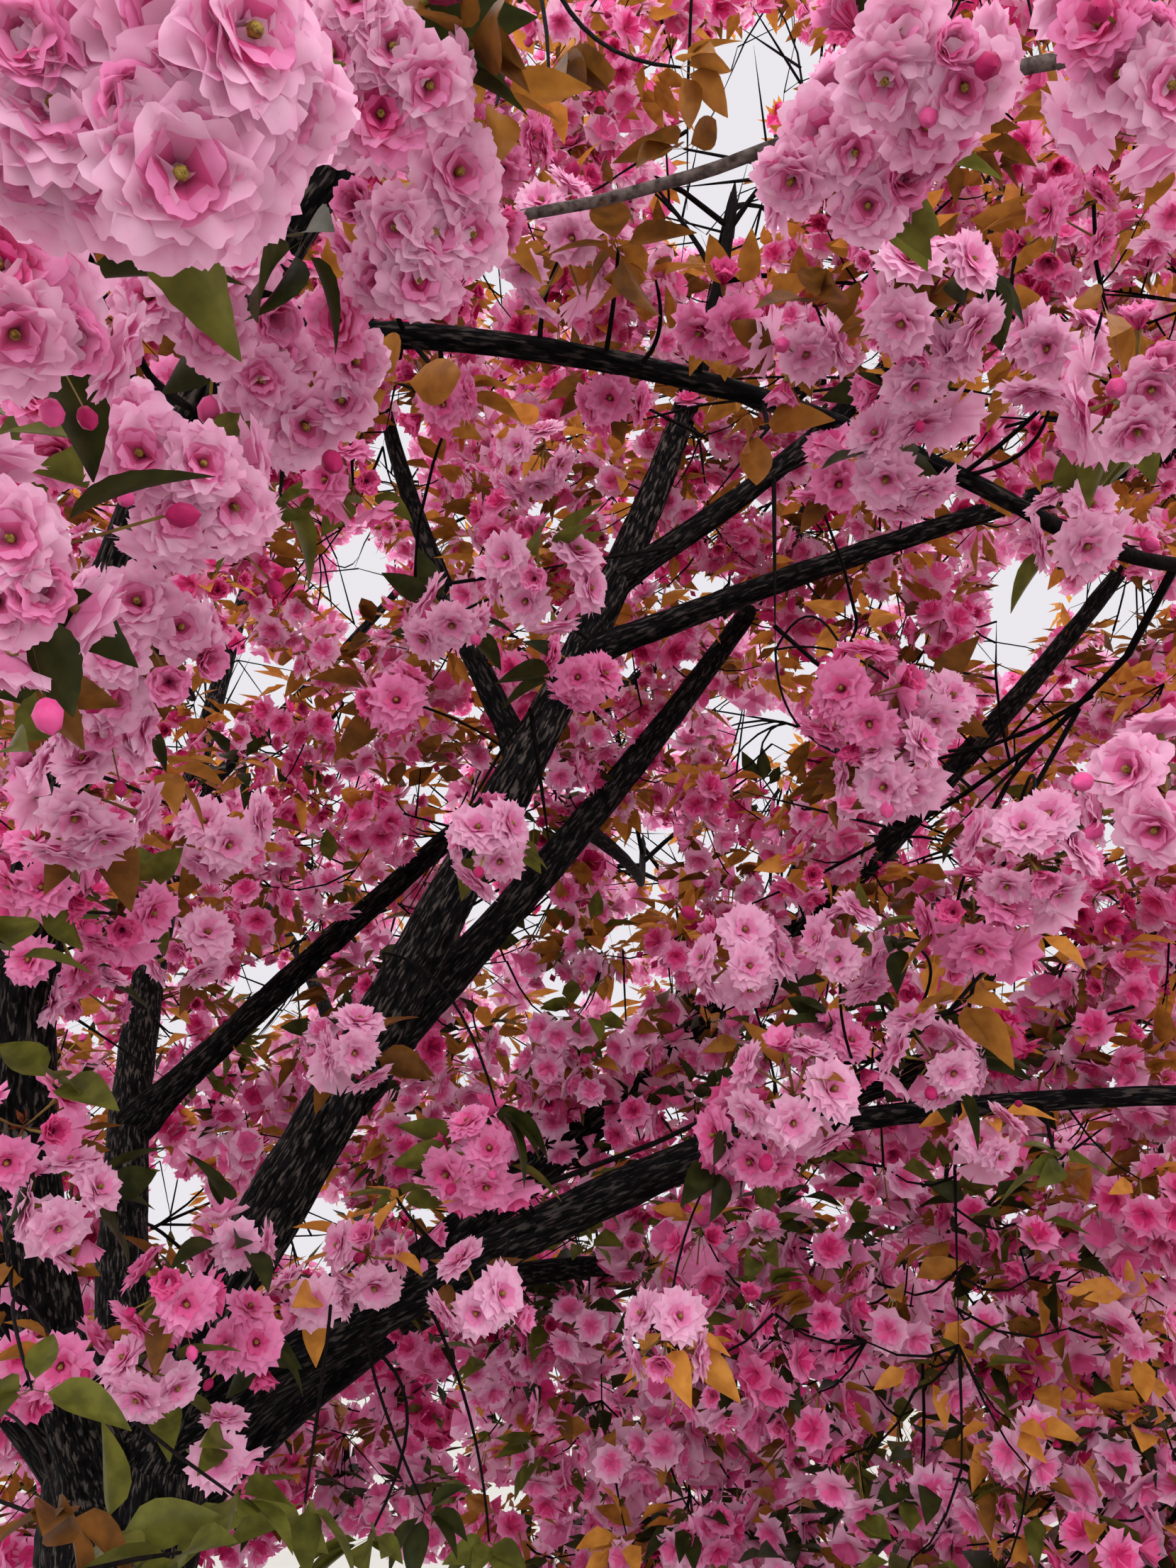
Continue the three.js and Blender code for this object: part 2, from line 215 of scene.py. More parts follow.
# Crown outline and the hollow under its front edge, as in the solids
CROWN_CENTRE = np.array([0.06, 0.0, 3.05])
CROWN_ACROSS, CROWN_UP, CROWN_DOWN = 2.80, 2.28, 2.00
CROWN_CURVE_UP, CROWN_CURVE_DOWN = 2, 4
HOLLOW_CENTRE = np.array([0.60, -1.95, 1.60])
HOLLOW_RADIUS = 0.48
MASS_ALONG, MASS_LIFT, MASS_REACH = 0.42, 0.18, 1.30
MASS_CLEARANCE = 0.002
MASS_SEED, SEEDS_A_MASS = 41, 100

mass_limbs = [limb for limb in limbs.values() if limb.name != "trunk"]
CENTRES = np.array([
    limb.path[-1] + limb.heading(1) * MASS_ALONG + UP * MASS_LIFT for limb in mass_limbs
])


def in_crown(points):
    """Whether points are within the crown's outline."""
    offset = points - CROWN_CENTRE
    level = (offset[:, 0] ** 2 + offset[:, 1] ** 2) / CROWN_ACROSS ** 2
    above = np.maximum(offset[:, 2], 0) / CROWN_UP
    below = np.maximum(-offset[:, 2], 0) / CROWN_DOWN
    return level + above ** CROWN_CURVE_UP + below ** CROWN_CURVE_DOWN < 1


def growing_room(points):
    """Whether points are in the crown and clear of the hollow under its edge."""
    return (np.linalg.norm(points - HOLLOW_CENTRE, axis=1) > HOLLOW_RADIUS) & in_crown(points)


def in_mass(index, points, margin=MASS_CLEARANCE):
    """Whether points are within a mass's reach, in the crown, and nearer to it than to any other."""
    off = ((points - CENTRES[index]) ** 2).sum(1)
    gaps = 2 * margin * np.linalg.norm(CENTRES - CENTRES[index], axis=1)
    others = ((points[:, None] - CENTRES[None]) ** 2).sum(2)
    others[:, index] = np.inf
    own = (off[:, None] + gaps < others).all(1)
    return (off < MASS_REACH ** 2) & own & growing_room(points)


def in_masses(points):
    """Whether points are within the reach of any mass."""
    off = ((points[:, None] - CENTRES[None]) ** 2).sum(2).min(1)
    return (off < MASS_REACH ** 2) & growing_room(points)


# Open places in the photograph, as ellipses: pixel across, pixel down, half width, half height
SKY_GAPS = [
    (1055, 100, 75, 52), (1010, 200, 55, 42), (1015, 290, 62, 45), (708, 376, 22, 26),
    (1440, 822, 42, 30), (1418, 905, 36, 26), (1572, 842, 38, 20), (1080, 1030, 38, 28),
    (500, 800, 34, 46), (330, 950, 28, 26), (686, 1283, 24, 30), (376, 1383, 32, 34),
    (426, 1716, 30, 36), (240, 1690, 26, 36), (907, 1194, 26, 20), (560, 640, 22, 30),
]

# Stretches of limbs with nothing before them in the photograph, as shares from foot to tip
SHOWN_STRETCHES = {
    "main_bough": [(0.19, 0.34), (0.36, 0.51), (0.56, 0.67), (0.71, 1.0)],
    "middle_bough": [(0.10, 0.62), (0.68, 0.92)],
    "far_bough": [(0.0, 0.12), (0.17, 0.55)],
    "back_right_bough": [(0.64, 0.78), (0.80, 0.92)],
    "low_bough": [(0.1, 0.16), (0.27, 0.36), (0.46, 0.60)],
    "near_bough": [(0.58, 0.68), (0.72, 0.78), (0.82, 0.9), (0.93, 0.98)],
    "near_right_branch": [(0.28, 0.78)],
    "right_bough": [(0.1, 0.42), (0.46, 0.72), (0.8, 1.0)],
    "twin_bough": [(0.1, 0.55), (0.75, 1.0)],
    "leader_bough": [(0.3, 0.55)],
    "back_bough": [(0.2, 0.4)],
}
STRETCH_STEP = 0.02
NEAR_VIEW, SHOOT_VIEW = 1.38, 1.18
FAR_CORNER, FAR_CORNER_WIDTH, FAR_CORNER_VIEW = (760, 1400), (400, 300), 0.42
VIEW_MARGIN = 220
BUNCH_RADIUS = 0.07
BUNCH_COVER = 0.8


def stretch_samples():
    """Pixel across, pixel down, depth and half width in pixels, all along the shown stretches."""
    rows = []
    for name, stretches in SHOWN_STRETCHES.items():
        for low, high in stretches:
            shares = np.arange(low, high, STRETCH_STEP)
            across, down, depth = in_photo(limbs[name].point(shares))
            half = PHOTO_FOCAL * limbs[name].radius(shares) / depth
            rows.append(np.stack([across, down, depth, half], -1))
    return np.concatenate(rows)


STRETCHES = stretch_samples()


def near_view(points, limit=NEAR_VIEW):
    """Whether points stand close before the viewer, where only the listed sprays grow."""
    across, down, _ = in_photo(points)
    corner = clamp((across - FAR_CORNER[0]) / FAR_CORNER_WIDTH[0])
    corner = corner * clamp((down - FAR_CORNER[1]) / FAR_CORNER_WIDTH[1])
    near = from_eye(points) < limit + FAR_CORNER_VIEW * corner
    return in_frame(points, VIEW_MARGIN) & near


def hides_view(points, size=BUNCH_RADIUS):
    """Whether bunches of a size would hide a shown stretch of limb or fill an open place."""
    across, down, depth = in_photo(points)
    reach = PHOTO_FOCAL * size / np.maximum(depth, NEAREST_DEPTH)
    hides = np.zeros(len(points), bool)
    for gap_across, gap_down, wide, tall in SKY_GAPS:
        aside = ((across - gap_across) / (wide + reach)) ** 2
        hides |= aside + ((down - gap_down) / (tall + reach)) ** 2 < 1
    for at_across, at_down, at_depth, half in STRETCHES:
        apart = np.hypot(across - at_across, down - at_down)
        hides |= (apart < half + BUNCH_COVER * reach) & (depth < at_depth)
    return hides & (depth > NEAREST_DEPTH)


# Shoots: the solids' rule, carried from 6 shoots a mass to many, with finer twigs on each
REACH_STEP = 0.01
SPREAD_TURN = 0.5698402910
SPREAD_HEIGHT = 0.7548776662
SAME_WAY = 0.55
ROOT_ON_STEM = (0.5, 0.95)
ROOT_ON_SHOOT = (0.3, 0.45)
SHORTEST_REACH = 0.25
TIP_MARGIN = 0.045
CURVE_LEAD = 0.45
SHOOTS = 34
STEM_END_RADIUS = 0.008
SHOOT_RADII = (0.0075, 0.002)
SHARE_OF_PARENT = 0.8
CURVE_SAMPLES = 9
WORD = 0xFFFFFFFF


def seeded_random(seed):
    """The solids' own stream of numbers from 0 to 1."""
    state = seed & WORD

    def draw():
        nonlocal state
        state = (state + 0x6D2B79F5) & WORD
        word = ((state ^ (state >> 15)) * (state | 1)) & WORD
        word ^= (word + (((word ^ (word >> 7)) * (word | 61)) & WORD)) & WORD
        return (word ^ (word >> 14)) / (WORD + 1)

    return draw


def spread_direction(n, shift):
    """One of a row of directions that fill the room round a centre evenly."""
    height = 1 - 2 * ((shift + n * SPREAD_HEIGHT) % 1)
    angle = FULL_TURN * ((2 * shift + n * SPREAD_TURN) % 1)
    level = math.sqrt(1 - height * height)
    return np.array([level * math.cos(angle), level * math.sin(angle), height])


class Curve:
    """A curve that leaves its start along a heading and ends at a point."""

    def __init__(self, start, heading, end, radii):
        self.start, self.end, self.radii = np.array(start), np.array(end), radii
        self.length = np.linalg.norm(self.end - self.start)
        self.lead = self.start + unit(heading) * self.length * CURVE_LEAD

    def point(self, share):
        share = np.asarray(share, float)[..., None]
        away = 1 - share
        return away ** 2 * self.start + 2 * away * share * self.lead + share ** 2 * self.end

    def heading(self, share):
        share = np.asarray(share, float)[..., None]
        return unit((1 - share) * (self.lead - self.start) + share * (self.end - self.lead))

    def radius(self, share):
        return blend(self.radii, np.asarray(share, float))


def reach_along(index, direction):
    """How far a mass reaches from its centre in a direction."""
    steps = np.arange(1, int(MASS_REACH / REACH_STEP) + 2) * REACH_STEP
    inside = in_mass(index, CENTRES[index] + direction * steps[:, None])
    stopped = np.flatnonzero(~inside)
    return REACH_STEP * (stopped[0] if len(stopped) else len(steps))


def mass_shoots(index):
    """The stem of one mass and its shoots, as curves, the stem first."""
    limb = mass_limbs[index]
    seed = MASS_SEED + SEEDS_A_MASS * index
    turn = seeded_random(seed)()
    centre = CENTRES[index]
    stem = Curve(limb.path[-1], limb.heading(1), centre, (limb.radius(1), STEM_END_RADIUS))
    outward = unit(centre - CROWN_CENTRE)
    grown = []
    for n in range(SHOOTS):
        random = seeded_random(seed + 1 + n)
        direction = spread_direction(n, turn) if n else outward
        reach = reach_along(index, direction)
        if reach < SHORTEST_REACH:
            continue
        near = [shoot for shoot in grown if shoot[0] @ direction > SAME_WAY]
        near.sort(key=lambda shoot: -(shoot[0] @ direction))
        parent = near[0][1] if near else stem
        root = blend(ROOT_ON_SHOOT if near else ROOT_ON_STEM, random())
        end = centre + direction * (reach - TIP_MARGIN)
        heading = unit(direction + parent.heading(root))
        radii = (min(parent.radius(root) * SHARE_OF_PARENT, SHOOT_RADII[0]), SHOOT_RADII[1])
        curve = Curve(parent.point(root), heading, end, radii)
        if not near_view(curve.point(np.linspace(0, 1, CURVE_SAMPLES)), SHOOT_VIEW).any():
            grown.append((direction, curve))
    return stem, [curve for _, curve in grown]


# Side shoots leave the shoots, and short side twigs leave both: each ends in a bunch of flowers
SIDE_SPACING, SIDE_FROM, SIDE_LENGTH = 0.15, 0.3, (0.16, 0.38)
SIDE_RADII = (0.0036, 0.0018)
SPUR_SPACING, SPUR_FROM, SPUR_LENGTH = 0.12, 0.3, (0.03, 0.10)
STEM_SPURS_FROM = 0.5
LIMB_SPUR_SPACING, LIMB_SPURS_FROM, LIMB_SPUR_LENGTH = 0.13, 0.3, (0.05, 0.18)
SPUR_RADII = (0.0021, 0.0011)
SPUR_SPREAD, SPUR_RISE = 0.22, 0.3
SIDE_LEAN, SPUR_LEAN, LIMB_SPUR_LEAN = 0.8, 0.6, 0.5
SPUR_JITTER, LAST_SPUR = (0.1, 0.8), 0.98
BOX_MARGIN = 0.03


def twigs_along(carrier, first, spacing, lengths, lean):
    """Feet, headings and ends of side twigs, spread along a carrier from a share to its end."""
    count = max(int(carrier.length * (1 - first) / spacing), 1)
    places = (np.arange(count) + RNG.uniform(*SPUR_JITTER, count)) / count
    shares = first + places * (LAST_SPUR - first)
    along = carrier.heading(shares)
    side = unit(np.cross(along, UP))
    over = np.cross(side, along)
    turn = (random_turns(None) + np.arange(count) * GOLDEN_TURN)[:, None]
    heading = np.cos(turn) * side + np.sin(turn) * over + lean * along + SPUR_RISE * UP
    heading = unit(heading + RNG.normal(0, SPUR_SPREAD, heading.shape))
    foot = carrier.point(shares)
    return foot, heading, foot + heading * RNG.uniform(*lengths, (count, 1))


# Rows of foot, heading, end, whether it is a carrier's own tip, and the spur that it grows from
spur_rows = []
NO_PARENT = -1


def bear_bunches(carrier, first, spacing, lengths, lean, allowed, at_end):
    """Short side twigs with bunches along a carrier, and one at its end if it has one."""
    foot, heading, end = twigs_along(carrier, first, spacing, lengths, lean)
    own = allowed(end)
    rows = [(foot[own], heading[own], end[own], False)]
    if at_end:
        tip = carrier.point([1.0])
        rows.append((tip, carrier.heading([1.0]), tip, True))
    for foot, heading, end, tip in rows:
        spur_rows.append((foot, heading, end, np.full(len(end), tip), np.full(len(end), NO_PARENT)))


stems, shoots, side_shoots = [], [], []
for mass_index, limb in enumerate(mass_limbs):
    def own_space(points):
        return in_mass(mass_index, points)

    stem, branches = mass_shoots(mass_index)
    stems.append(stem)
    shoots += branches
    sides = []
    for branch in branches:
        foot, heading, end = twigs_along(branch, SIDE_FROM, SIDE_SPACING, SIDE_LENGTH, SIDE_LEAN)
        own = own_space(end)
        sides += [Curve(*row, SIDE_RADII) for row in zip(foot[own], heading[own], end[own])]
    side_shoots += sides
    bear_bunches(stem, STEM_SPURS_FROM, SPUR_SPACING, SPUR_LENGTH, SPUR_LEAN, own_space, False)
    for carrier in branches + sides:
        bear_bunches(carrier, SPUR_FROM, SPUR_SPACING, SPUR_LENGTH, SPUR_LEAN, own_space, True)
    bear_bunches(
        limb, LIMB_SPURS_FROM, LIMB_SPUR_SPACING, LIMB_SPUR_LENGTH, LIMB_SPUR_LEAN, in_crown, False
    )

# Wood that twigs can leave: points all along the limbs, stems, shoots and side shoots
CARRIER_SAMPLES, CARRIER_FROM = 24, 0.12
carriers = stems + shoots + side_shoots + mass_limbs
carrier_shares = np.linspace(CARRIER_FROM, 1, CARRIER_SAMPLES)
carrier_points = np.concatenate([carrier.point(carrier_shares) for carrier in carriers])
carrier_radii = np.concatenate([carrier.radius(carrier_shares) for carrier in carriers])

# Fillers: more short twigs in the room behind the photograph's frame and in the crown's shell, each
# from the nearest fine wood or from another filler, in a few rounds
FILLERS, FILLER_ROUNDS = 28000, 3
SHELL_FILLERS, SHELL_SHARES = 3400, (0.62, 0.99)
FILLER_NEAR, FILLER_FAR = (2.3, 1.45), 5.6
FILLER_REACH = 0.17
FILLER_MARGIN, FILLER_NEARING, FILLER_SINKING = 40, 0.8, 2
FILLER_SHARES = (0.45, 0.75, 1.0)
BATCH = 400


def nearest(points, wood):
    """The number of the nearest point of wood to each point."""
    found = [np.zeros(0, int)]
    for start in range(0, len(points), BATCH):
        off = (wood ** 2).sum(1) - 2 * points[start:start + BATCH] @ wood.T
        found.append(np.argmin(off, 1))
    return np.concatenate(found)


filler_down = RNG.uniform(-FILLER_MARGIN, PHOTO_HEIGHT + FILLER_MARGIN, FILLERS)
filler_near = blend(FILLER_NEAR, clamp(filler_down / PHOTO_HEIGHT) ** FILLER_SINKING)
filler_distance = blend((filler_near, FILLER_FAR), RNG.random(FILLERS) ** FILLER_NEARING)
filler_across = RNG.uniform(-FILLER_MARGIN, PHOTO_WIDTH + FILLER_MARGIN, FILLERS)
filler_end = np.array([at_pixel(*row) for row in zip(filler_across, filler_down, filler_distance)])
shell_way = unit(RNG.normal(0, 1, (SHELL_FILLERS, 3)))
shell_share = RNG.uniform(*SHELL_SHARES, (SHELL_FILLERS, 1))
shell_end = CROWN_CENTRE + shell_way * shell_share * [CROWN_ACROSS, CROWN_ACROSS, CROWN_UP]
filler_end = np.concatenate([filler_end, shell_end[~in_frame(shell_end)]])
filler_end = filler_end[in_masses(filler_end)]
filler_foot = filler_end.copy()
filler_parent = np.full(len(filler_end), NO_PARENT)
joined = np.zeros(len(filler_end), bool)
first_filler = sum(len(rows[0]) for rows in spur_rows)
wood = carrier_points[: -len(mass_limbs) * CARRIER_SAMPLES]
wood_owner = np.full(len(wood), NO_PARENT)
for _ in range(FILLER_ROUNDS):
    waiting = np.flatnonzero(~joined)
    found = nearest(filler_end[waiting], wood)
    reached = np.linalg.norm(filler_end[waiting] - wood[found], axis=1) < FILLER_REACH
    new, found = waiting[reached], found[reached]
    filler_foot[new], filler_parent[new] = wood[found], wood_owner[found]
    joined[new] = True
    added = [blend((filler_foot[new], filler_end[new]), share) for share in FILLER_SHARES]
    wood = np.concatenate([wood] + added)
    wood_owner = np.concatenate([wood_owner] + [first_filler + new] * len(FILLER_SHARES))
spur_rows.append((
    filler_foot, unit(filler_end - filler_foot), filler_end, np.zeros(len(joined), bool), filler_parent
))
all_foot, all_heading, all_end, all_at_tip, all_parent = (
    np.concatenate(rows) for rows in zip(*spur_rows)
)
all_joined = np.ones(len(all_end), bool)
all_joined[first_filler:] = joined

# Which bunches grow: none close before the viewer or over an open place, few deep in the crown
LAYER_CELL = 24
LAYERS_ENOUGH, LAYERS_PLAIN = 3.8, 2.3
OUTER_SHELL, OUTER_SHELL_SHARE = 0.88, 0.42
OUT_OF_VIEW_SHARE, OUT_OF_VIEW_RISE = (0.04, 0.92), 3


def layers_before(points):
    """How many layers of kept bunches stand before each bunch, going away from the viewer."""
    across, down, depth = in_photo(points)
    reach = BUNCH_COVER * PHOTO_FOCAL * BUNCH_RADIUS / np.maximum(depth, NEAREST_DEPTH)
    layers = np.zeros((PHOTO_HEIGHT // LAYER_CELL + 1, PHOTO_WIDTH // LAYER_CELL + 1))
    before = np.zeros(len(points))
    seen = in_frame(points, 0)
    for n in np.argsort(depth):
        if not seen[n]:
            continue
        sides = [place[n] + side * reach[n] for place in (across, down) for side in (-1, 1)]
        left, right, top, low = (int(max(side, 0) / LAYER_CELL) for side in sides)
        patch = layers[top:low + 1, left:right + 1]
        before[n] = patch.mean()
        patch += before[n] < LAYERS_ENOUGH
    return before


kept = ((all_end > CAD_LOW + BOX_MARGIN) & (all_end < CAD_HIGH - BOX_MARGIN)).all(1) & all_joined
grown = np.flatnonzero(kept & ~near_view(all_end) & ~hides_view(all_end))
depth_in = clamp(np.linalg.norm(
    (all_end[grown] - CROWN_CENTRE) / [CROWN_ACROSS, CROWN_ACROSS, CROWN_UP], axis=1
))
chance = blend(OUT_OF_VIEW_SHARE, depth_in ** OUT_OF_VIEW_RISE)
chance = np.where(in_frame(all_end[grown], 0), 1, chance)
outer = (depth_in > OUTER_SHELL) & (RNG.random(len(grown)) < OUTER_SHELL_SHARE)
spur_layers = layers_before(all_end[grown])
kept = (RNG.random(len(grown)) < chance) & (outer | (spur_layers < LAYERS_ENOUGH))
grown, spur_layers, depth_in = grown[kept], spur_layers[kept], depth_in[kept]
spur_heading, spur_end, at_tip = all_heading[grown], all_end[grown], all_at_tip[grown]

# A spur is drawn where it bears a bunch, or carries another that does
drawn = np.zeros(len(all_end), bool)
drawn[grown] = True
for _ in range(FILLER_ROUNDS):
    parents = all_parent[drawn]
    drawn[parents[parents != NO_PARENT]] = True
drawn &= ~all_at_tip

BUNCH_FLOWERS, TIP_FLOWERS = (6, 11), (8, 12)
OUT_OF_VIEW_FLOWERS = 0.64
spur_flowers = np.where(
    at_tip, RNG.integers(*TIP_FLOWERS, len(at_tip)), RNG.integers(*BUNCH_FLOWERS, len(at_tip))
)
fewer_flowers = (spur_flowers * OUT_OF_VIEW_FLOWERS).astype(int)
spur_flowers = np.where(in_frame(spur_end), spur_flowers, fewer_flowers)
LEAFY_SHARE, LEAFY_FLOWERS, LEAFY_LEAVES = 0.33, (0, 3), 3
leafy = (RNG.random(len(spur_end)) < LEAFY_SHARE) & in_frame(spur_end)
spur_flowers = np.where(leafy, RNG.integers(*LEAFY_FLOWERS, len(spur_end)), spur_flowers)

# Groups close before the viewer: the middle's pixel across, pixel down and distance, the
# group's radius, and pixels across and down of the flowers on its near side
NEAR_GROUPS = [
    ((205, 105, 0.49), 0.070, [
        (37, 58), (132, 53), (193, 153), (349, 45), (293, 122), (80, 150), (254, 243), (402, 150),
        (50, 225), (318, 222), (235, 20), (150, 235),
    ]),
    ((525, 90, 0.76), 0.052, [(468, 74), (553, 65), (537, 161), (455, 165), (605, 120), (500, -5)]),
    ((585, 300, 0.80), 0.058, [
        (646, 243), (558, 320), (609, 330), (505, 290), (665, 330), (535, 394), (476, 453), (590, 395),
    ]),
    ((310, 425, 0.80), 0.056, [(341, 360), (304, 410), (209, 418), (302, 470), (384, 445), (255, 375)]),
    ((425, 555, 0.86), 0.050, [(368, 537), (482, 566), (430, 600), (400, 500), (500, 510)]),
    ((35, 420, 0.64), 0.052, [(0, 375), (62, 405), (20, 470), (95, 470)]),
    ((250, 680, 0.76), 0.050, [(198, 640), (286, 654), (250, 730), (330, 715), (180, 600)]),
    ((15, 790, 0.62), 0.045, [(15, 760), (55, 830), (-5, 850)]),
    ((205, 900, 0.86), 0.052, [(194, 850), (254, 885), (160, 918), (238, 962), (290, 930)]),
    ((1295, 110, 0.82), 0.052, [(1272, 44), (1338, 66), (1250, 111), (1305, 177), (1360, 122)]),
    ((1200, 235, 0.86), 0.050, [(1205, 215), (1272, 254), (1117, 254), (1160, 190), (1225, 290)]),
    ((1605, 70, 0.80), 0.050, [(1548, 33), (1626, 44), (1581, 105), (1650, 122)]),
]
REAR_FLOWERS = 5

# Bunches before the viewer: pixel across, pixel down, distance, flowers
NEAR_BUNCHES = [
    (66, 603, 0.95, 4), (144, 990, 0.96, 6),
    (763, 815, 1.20, 10), (632, 876, 1.30, 4), (818, 950, 1.32, 5),
    (796, 350, 1.22, 11), (1032, 446, 1.20, 6), (1310, 425, 1.05, 9), (1294, 540, 1.08, 8),
    (1262, 650, 1.12, 8), (1128, 505, 1.15, 4), (1600, 550, 0.98, 9), (1645, 1120, 0.88, 8),
    (1215, 985, 1.22, 10), (1255, 1080, 1.24, 9), (1300, 1000, 1.28, 6), (1455, 1215, 1.20, 11),
    (1375, 1300, 1.22, 9), (1194, 1335, 1.26, 8), (1040, 1349, 1.26, 9), (691, 1185, 1.26, 7),
    (500, 1482, 1.32, 5), (1120, 1545, 1.22, 11), (1060, 1600, 1.26, 8), (1316, 1493, 1.26, 8),
    (680, 1632, 1.33, 10), (332, 1748, 1.38, 4), (245, 1819, 1.30, 6), (212, 1938, 1.34, 4),
    (94, 1915, 1.38, 3), (354, 1882, 1.44, 6), (675, 1828, 1.36, 7), (442, 1828, 1.48, 5),
    (122, 1117, 1.02, 9), (66, 1235, 1.12, 6), (166, 1289, 1.20, 6), (310, 1172, 1.26, 6),
    (265, 1330, 1.34, 6), (33, 1590, 1.28, 7), (100, 1695, 1.30, 7), (553, 984, 1.34, 5),
    (940, 1878, 1.44, 8), (520, 1772, 1.46, 6), (1482, 498, 1.18, 6), (1526, 740, 1.18, 5),
    (863, 553, 1.34, 5), (498, 686, 1.30, 5), (619, 560, 1.30, 5), (1180, 660, 1.34, 4),
    (320, 2035, 1.44, 3),
]

# Tufts of leaves alone: pixel across, pixel down, distance, leaves
NEAR_TUFTS = [
    (20, 262, 0.62, 3), (650, 60, 0.78, 5), (700, 150, 0.84, 5), (775, 110, 0.95, 4),
    (960, 95, 1.10, 5), (965, 210, 1.20, 4), (872, 350, 1.15, 5), (925, 395, 1.20, 4),
    (1150, 430, 1.12, 4), (1070, 600, 1.15, 4), (425, 340, 0.74, 4), (395, 700, 0.84, 5),
    (560, 540, 1.00, 4), (1290, 445, 1.10, 4), (1370, 380, 1.10, 4), (1555, 440, 1.08, 4),
    (1275, 1330, 1.20, 4), (1355, 1410, 1.20, 5), (12, 1350, 1.02, 4), (75, 1530, 1.16, 4),
    (80, 2130, 0.98, 6), (150, 2165, 1.05, 5), (330, 2110, 1.10, 6), (430, 2120, 1.15, 5),
    (35, 960, 0.78, 4), (10, 1060, 0.90, 3), (230, 1085, 1.15, 4), (700, 1560, 1.25, 4),
    (560, 1690, 1.35, 4), (45, 1960, 1.10, 5), (1500, 1640, 1.32, 5), (1010, 1640, 1.30, 4),
    (520, 2170, 1.30, 6), (600, 2130, 1.50, 6), (690, 2175, 1.60, 6), (255, 2190, 0.95, 5),
]

# Each listed spray is carried by a twig from the nearest wood that stands no nearer to the viewer
NEAR_TWIG_RADII, NEAR_TWIG_RISE, NEAR_TWIG_BEND = (0.0028, 0.0015), 0.2, 0.45
ASIDE_COST, BEFORE_COST, STAND_BEHIND = 1.4, 3, 0.05


def twig_to(end):
    """A twig to a listed spray from wood near it that stands behind it, seen from the viewer."""
    apart = np.linalg.norm(carrier_points - end, axis=1)
    sight = unit(end - EYE)
    beyond = (carrier_points - end) @ sight
    aside = np.linalg.norm(carrier_points - end - beyond[:, None] * sight, axis=1)
    before = np.maximum(STAND_BEHIND - beyond, 0)
    best = np.argmin(apart + ASIDE_COST * aside + BEFORE_COST * before)
    start = carrier_points[best]
    radii = (min(NEAR_TWIG_RADII[0], carrier_radii[best] * SHARE_OF_PARENT), NEAR_TWIG_RADII[1])
    bend = RNG.normal(0, NEAR_TWIG_BEND, 3)
    return Curve(start, unit(end - start) + NEAR_TWIG_RISE * UP + bend, end, radii)


# Bare twigs before the viewer, the first one grey: diameters, then pixel across, pixel down and
# distance from the foot on
SHOWN_TWIGS = [
    ((0.014, 0.009), [
        (1640, 60, 1.22), (1420, 98, 1.16), (1250, 155, 1.12), (1120, 195, 1.11), (995, 243, 1.10),
        (850, 283, 1.09), (680, 314, 1.08),
    ]),
    ((0.0065, 0.004), [
        (214, 536, 1.0), (161, 440, 0.97), (122, 375, 0.96), (88, 291, 0.95), (46, 195, 0.94),
    ]),
    ((0.006, 0.0035), [
        (205, 545, 1.01), (153, 509, 1.0), (126, 387, 0.97), (134, 329, 0.95), (165, 245, 0.93),
    ]),
    ((0.006, 0.003), [(1180, 960, 1.6), (1210, 880, 1.55), (1190, 800, 1.5), (1150, 690, 1.46)]),
    ((0.006, 0.003), [(585, 830, 1.6), (590, 740, 1.56), (612, 650, 1.52), (640, 570, 1.5)]),
    ((0.010, 0.006), [(715, 1690, 1.75), (830, 1648, 1.7), (930, 1610, 1.66), (1045, 1555, 1.62)]),
    ((0.009, 0.005), [(1180, 1500, 2.1), (1330, 1490, 2.05), (1460, 1460, 2.0), (1600, 1420, 1.95)]),
]
SHOWN_POINTS = 24
shown_paths = []
for _, places in SHOWN_TWIGS:
    path = np.array([at_pixel(*place) for place in places])
    path = np.concatenate([carrier_points[nearest(path[:1], carrier_points)], path])
    shown_paths.append(evenly(path, np.linspace(0, len(path) - 1, SHOWN_POINTS), np.arange(len(path))))
shown_radii = np.linspace(*np.array([row[0] for row in SHOWN_TWIGS]).T / 2, SHOWN_POINTS, axis=1)

group_middle = np.array([at_pixel(*row[0]) for row in NEAR_GROUPS])
near_end = np.concatenate([group_middle, [at_pixel(*row[:3]) for row in NEAR_BUNCHES]])
near_flowers = np.array([REAR_FLOWERS * 2] * len(NEAR_GROUPS) + [row[3] for row in NEAR_BUNCHES])
tuft_end = np.array([at_pixel(*row[:3]) for row in NEAR_TUFTS])
tuft_leaves = np.array([row[3] for row in NEAR_TUFTS])
near_twigs = [twig_to(spray_end) for spray_end in near_end]
tuft_twigs = [twig_to(spray_end) for spray_end in tuft_end]
near_heading = np.array([twig.heading(1.0) for twig in near_twigs])
tuft_heading = np.array([twig.heading(1.0) for twig in tuft_twigs])

GROUP_JITTER, GROUP_TILT, GROUP_OUTWARD = 0.007, 0.16, 0.5


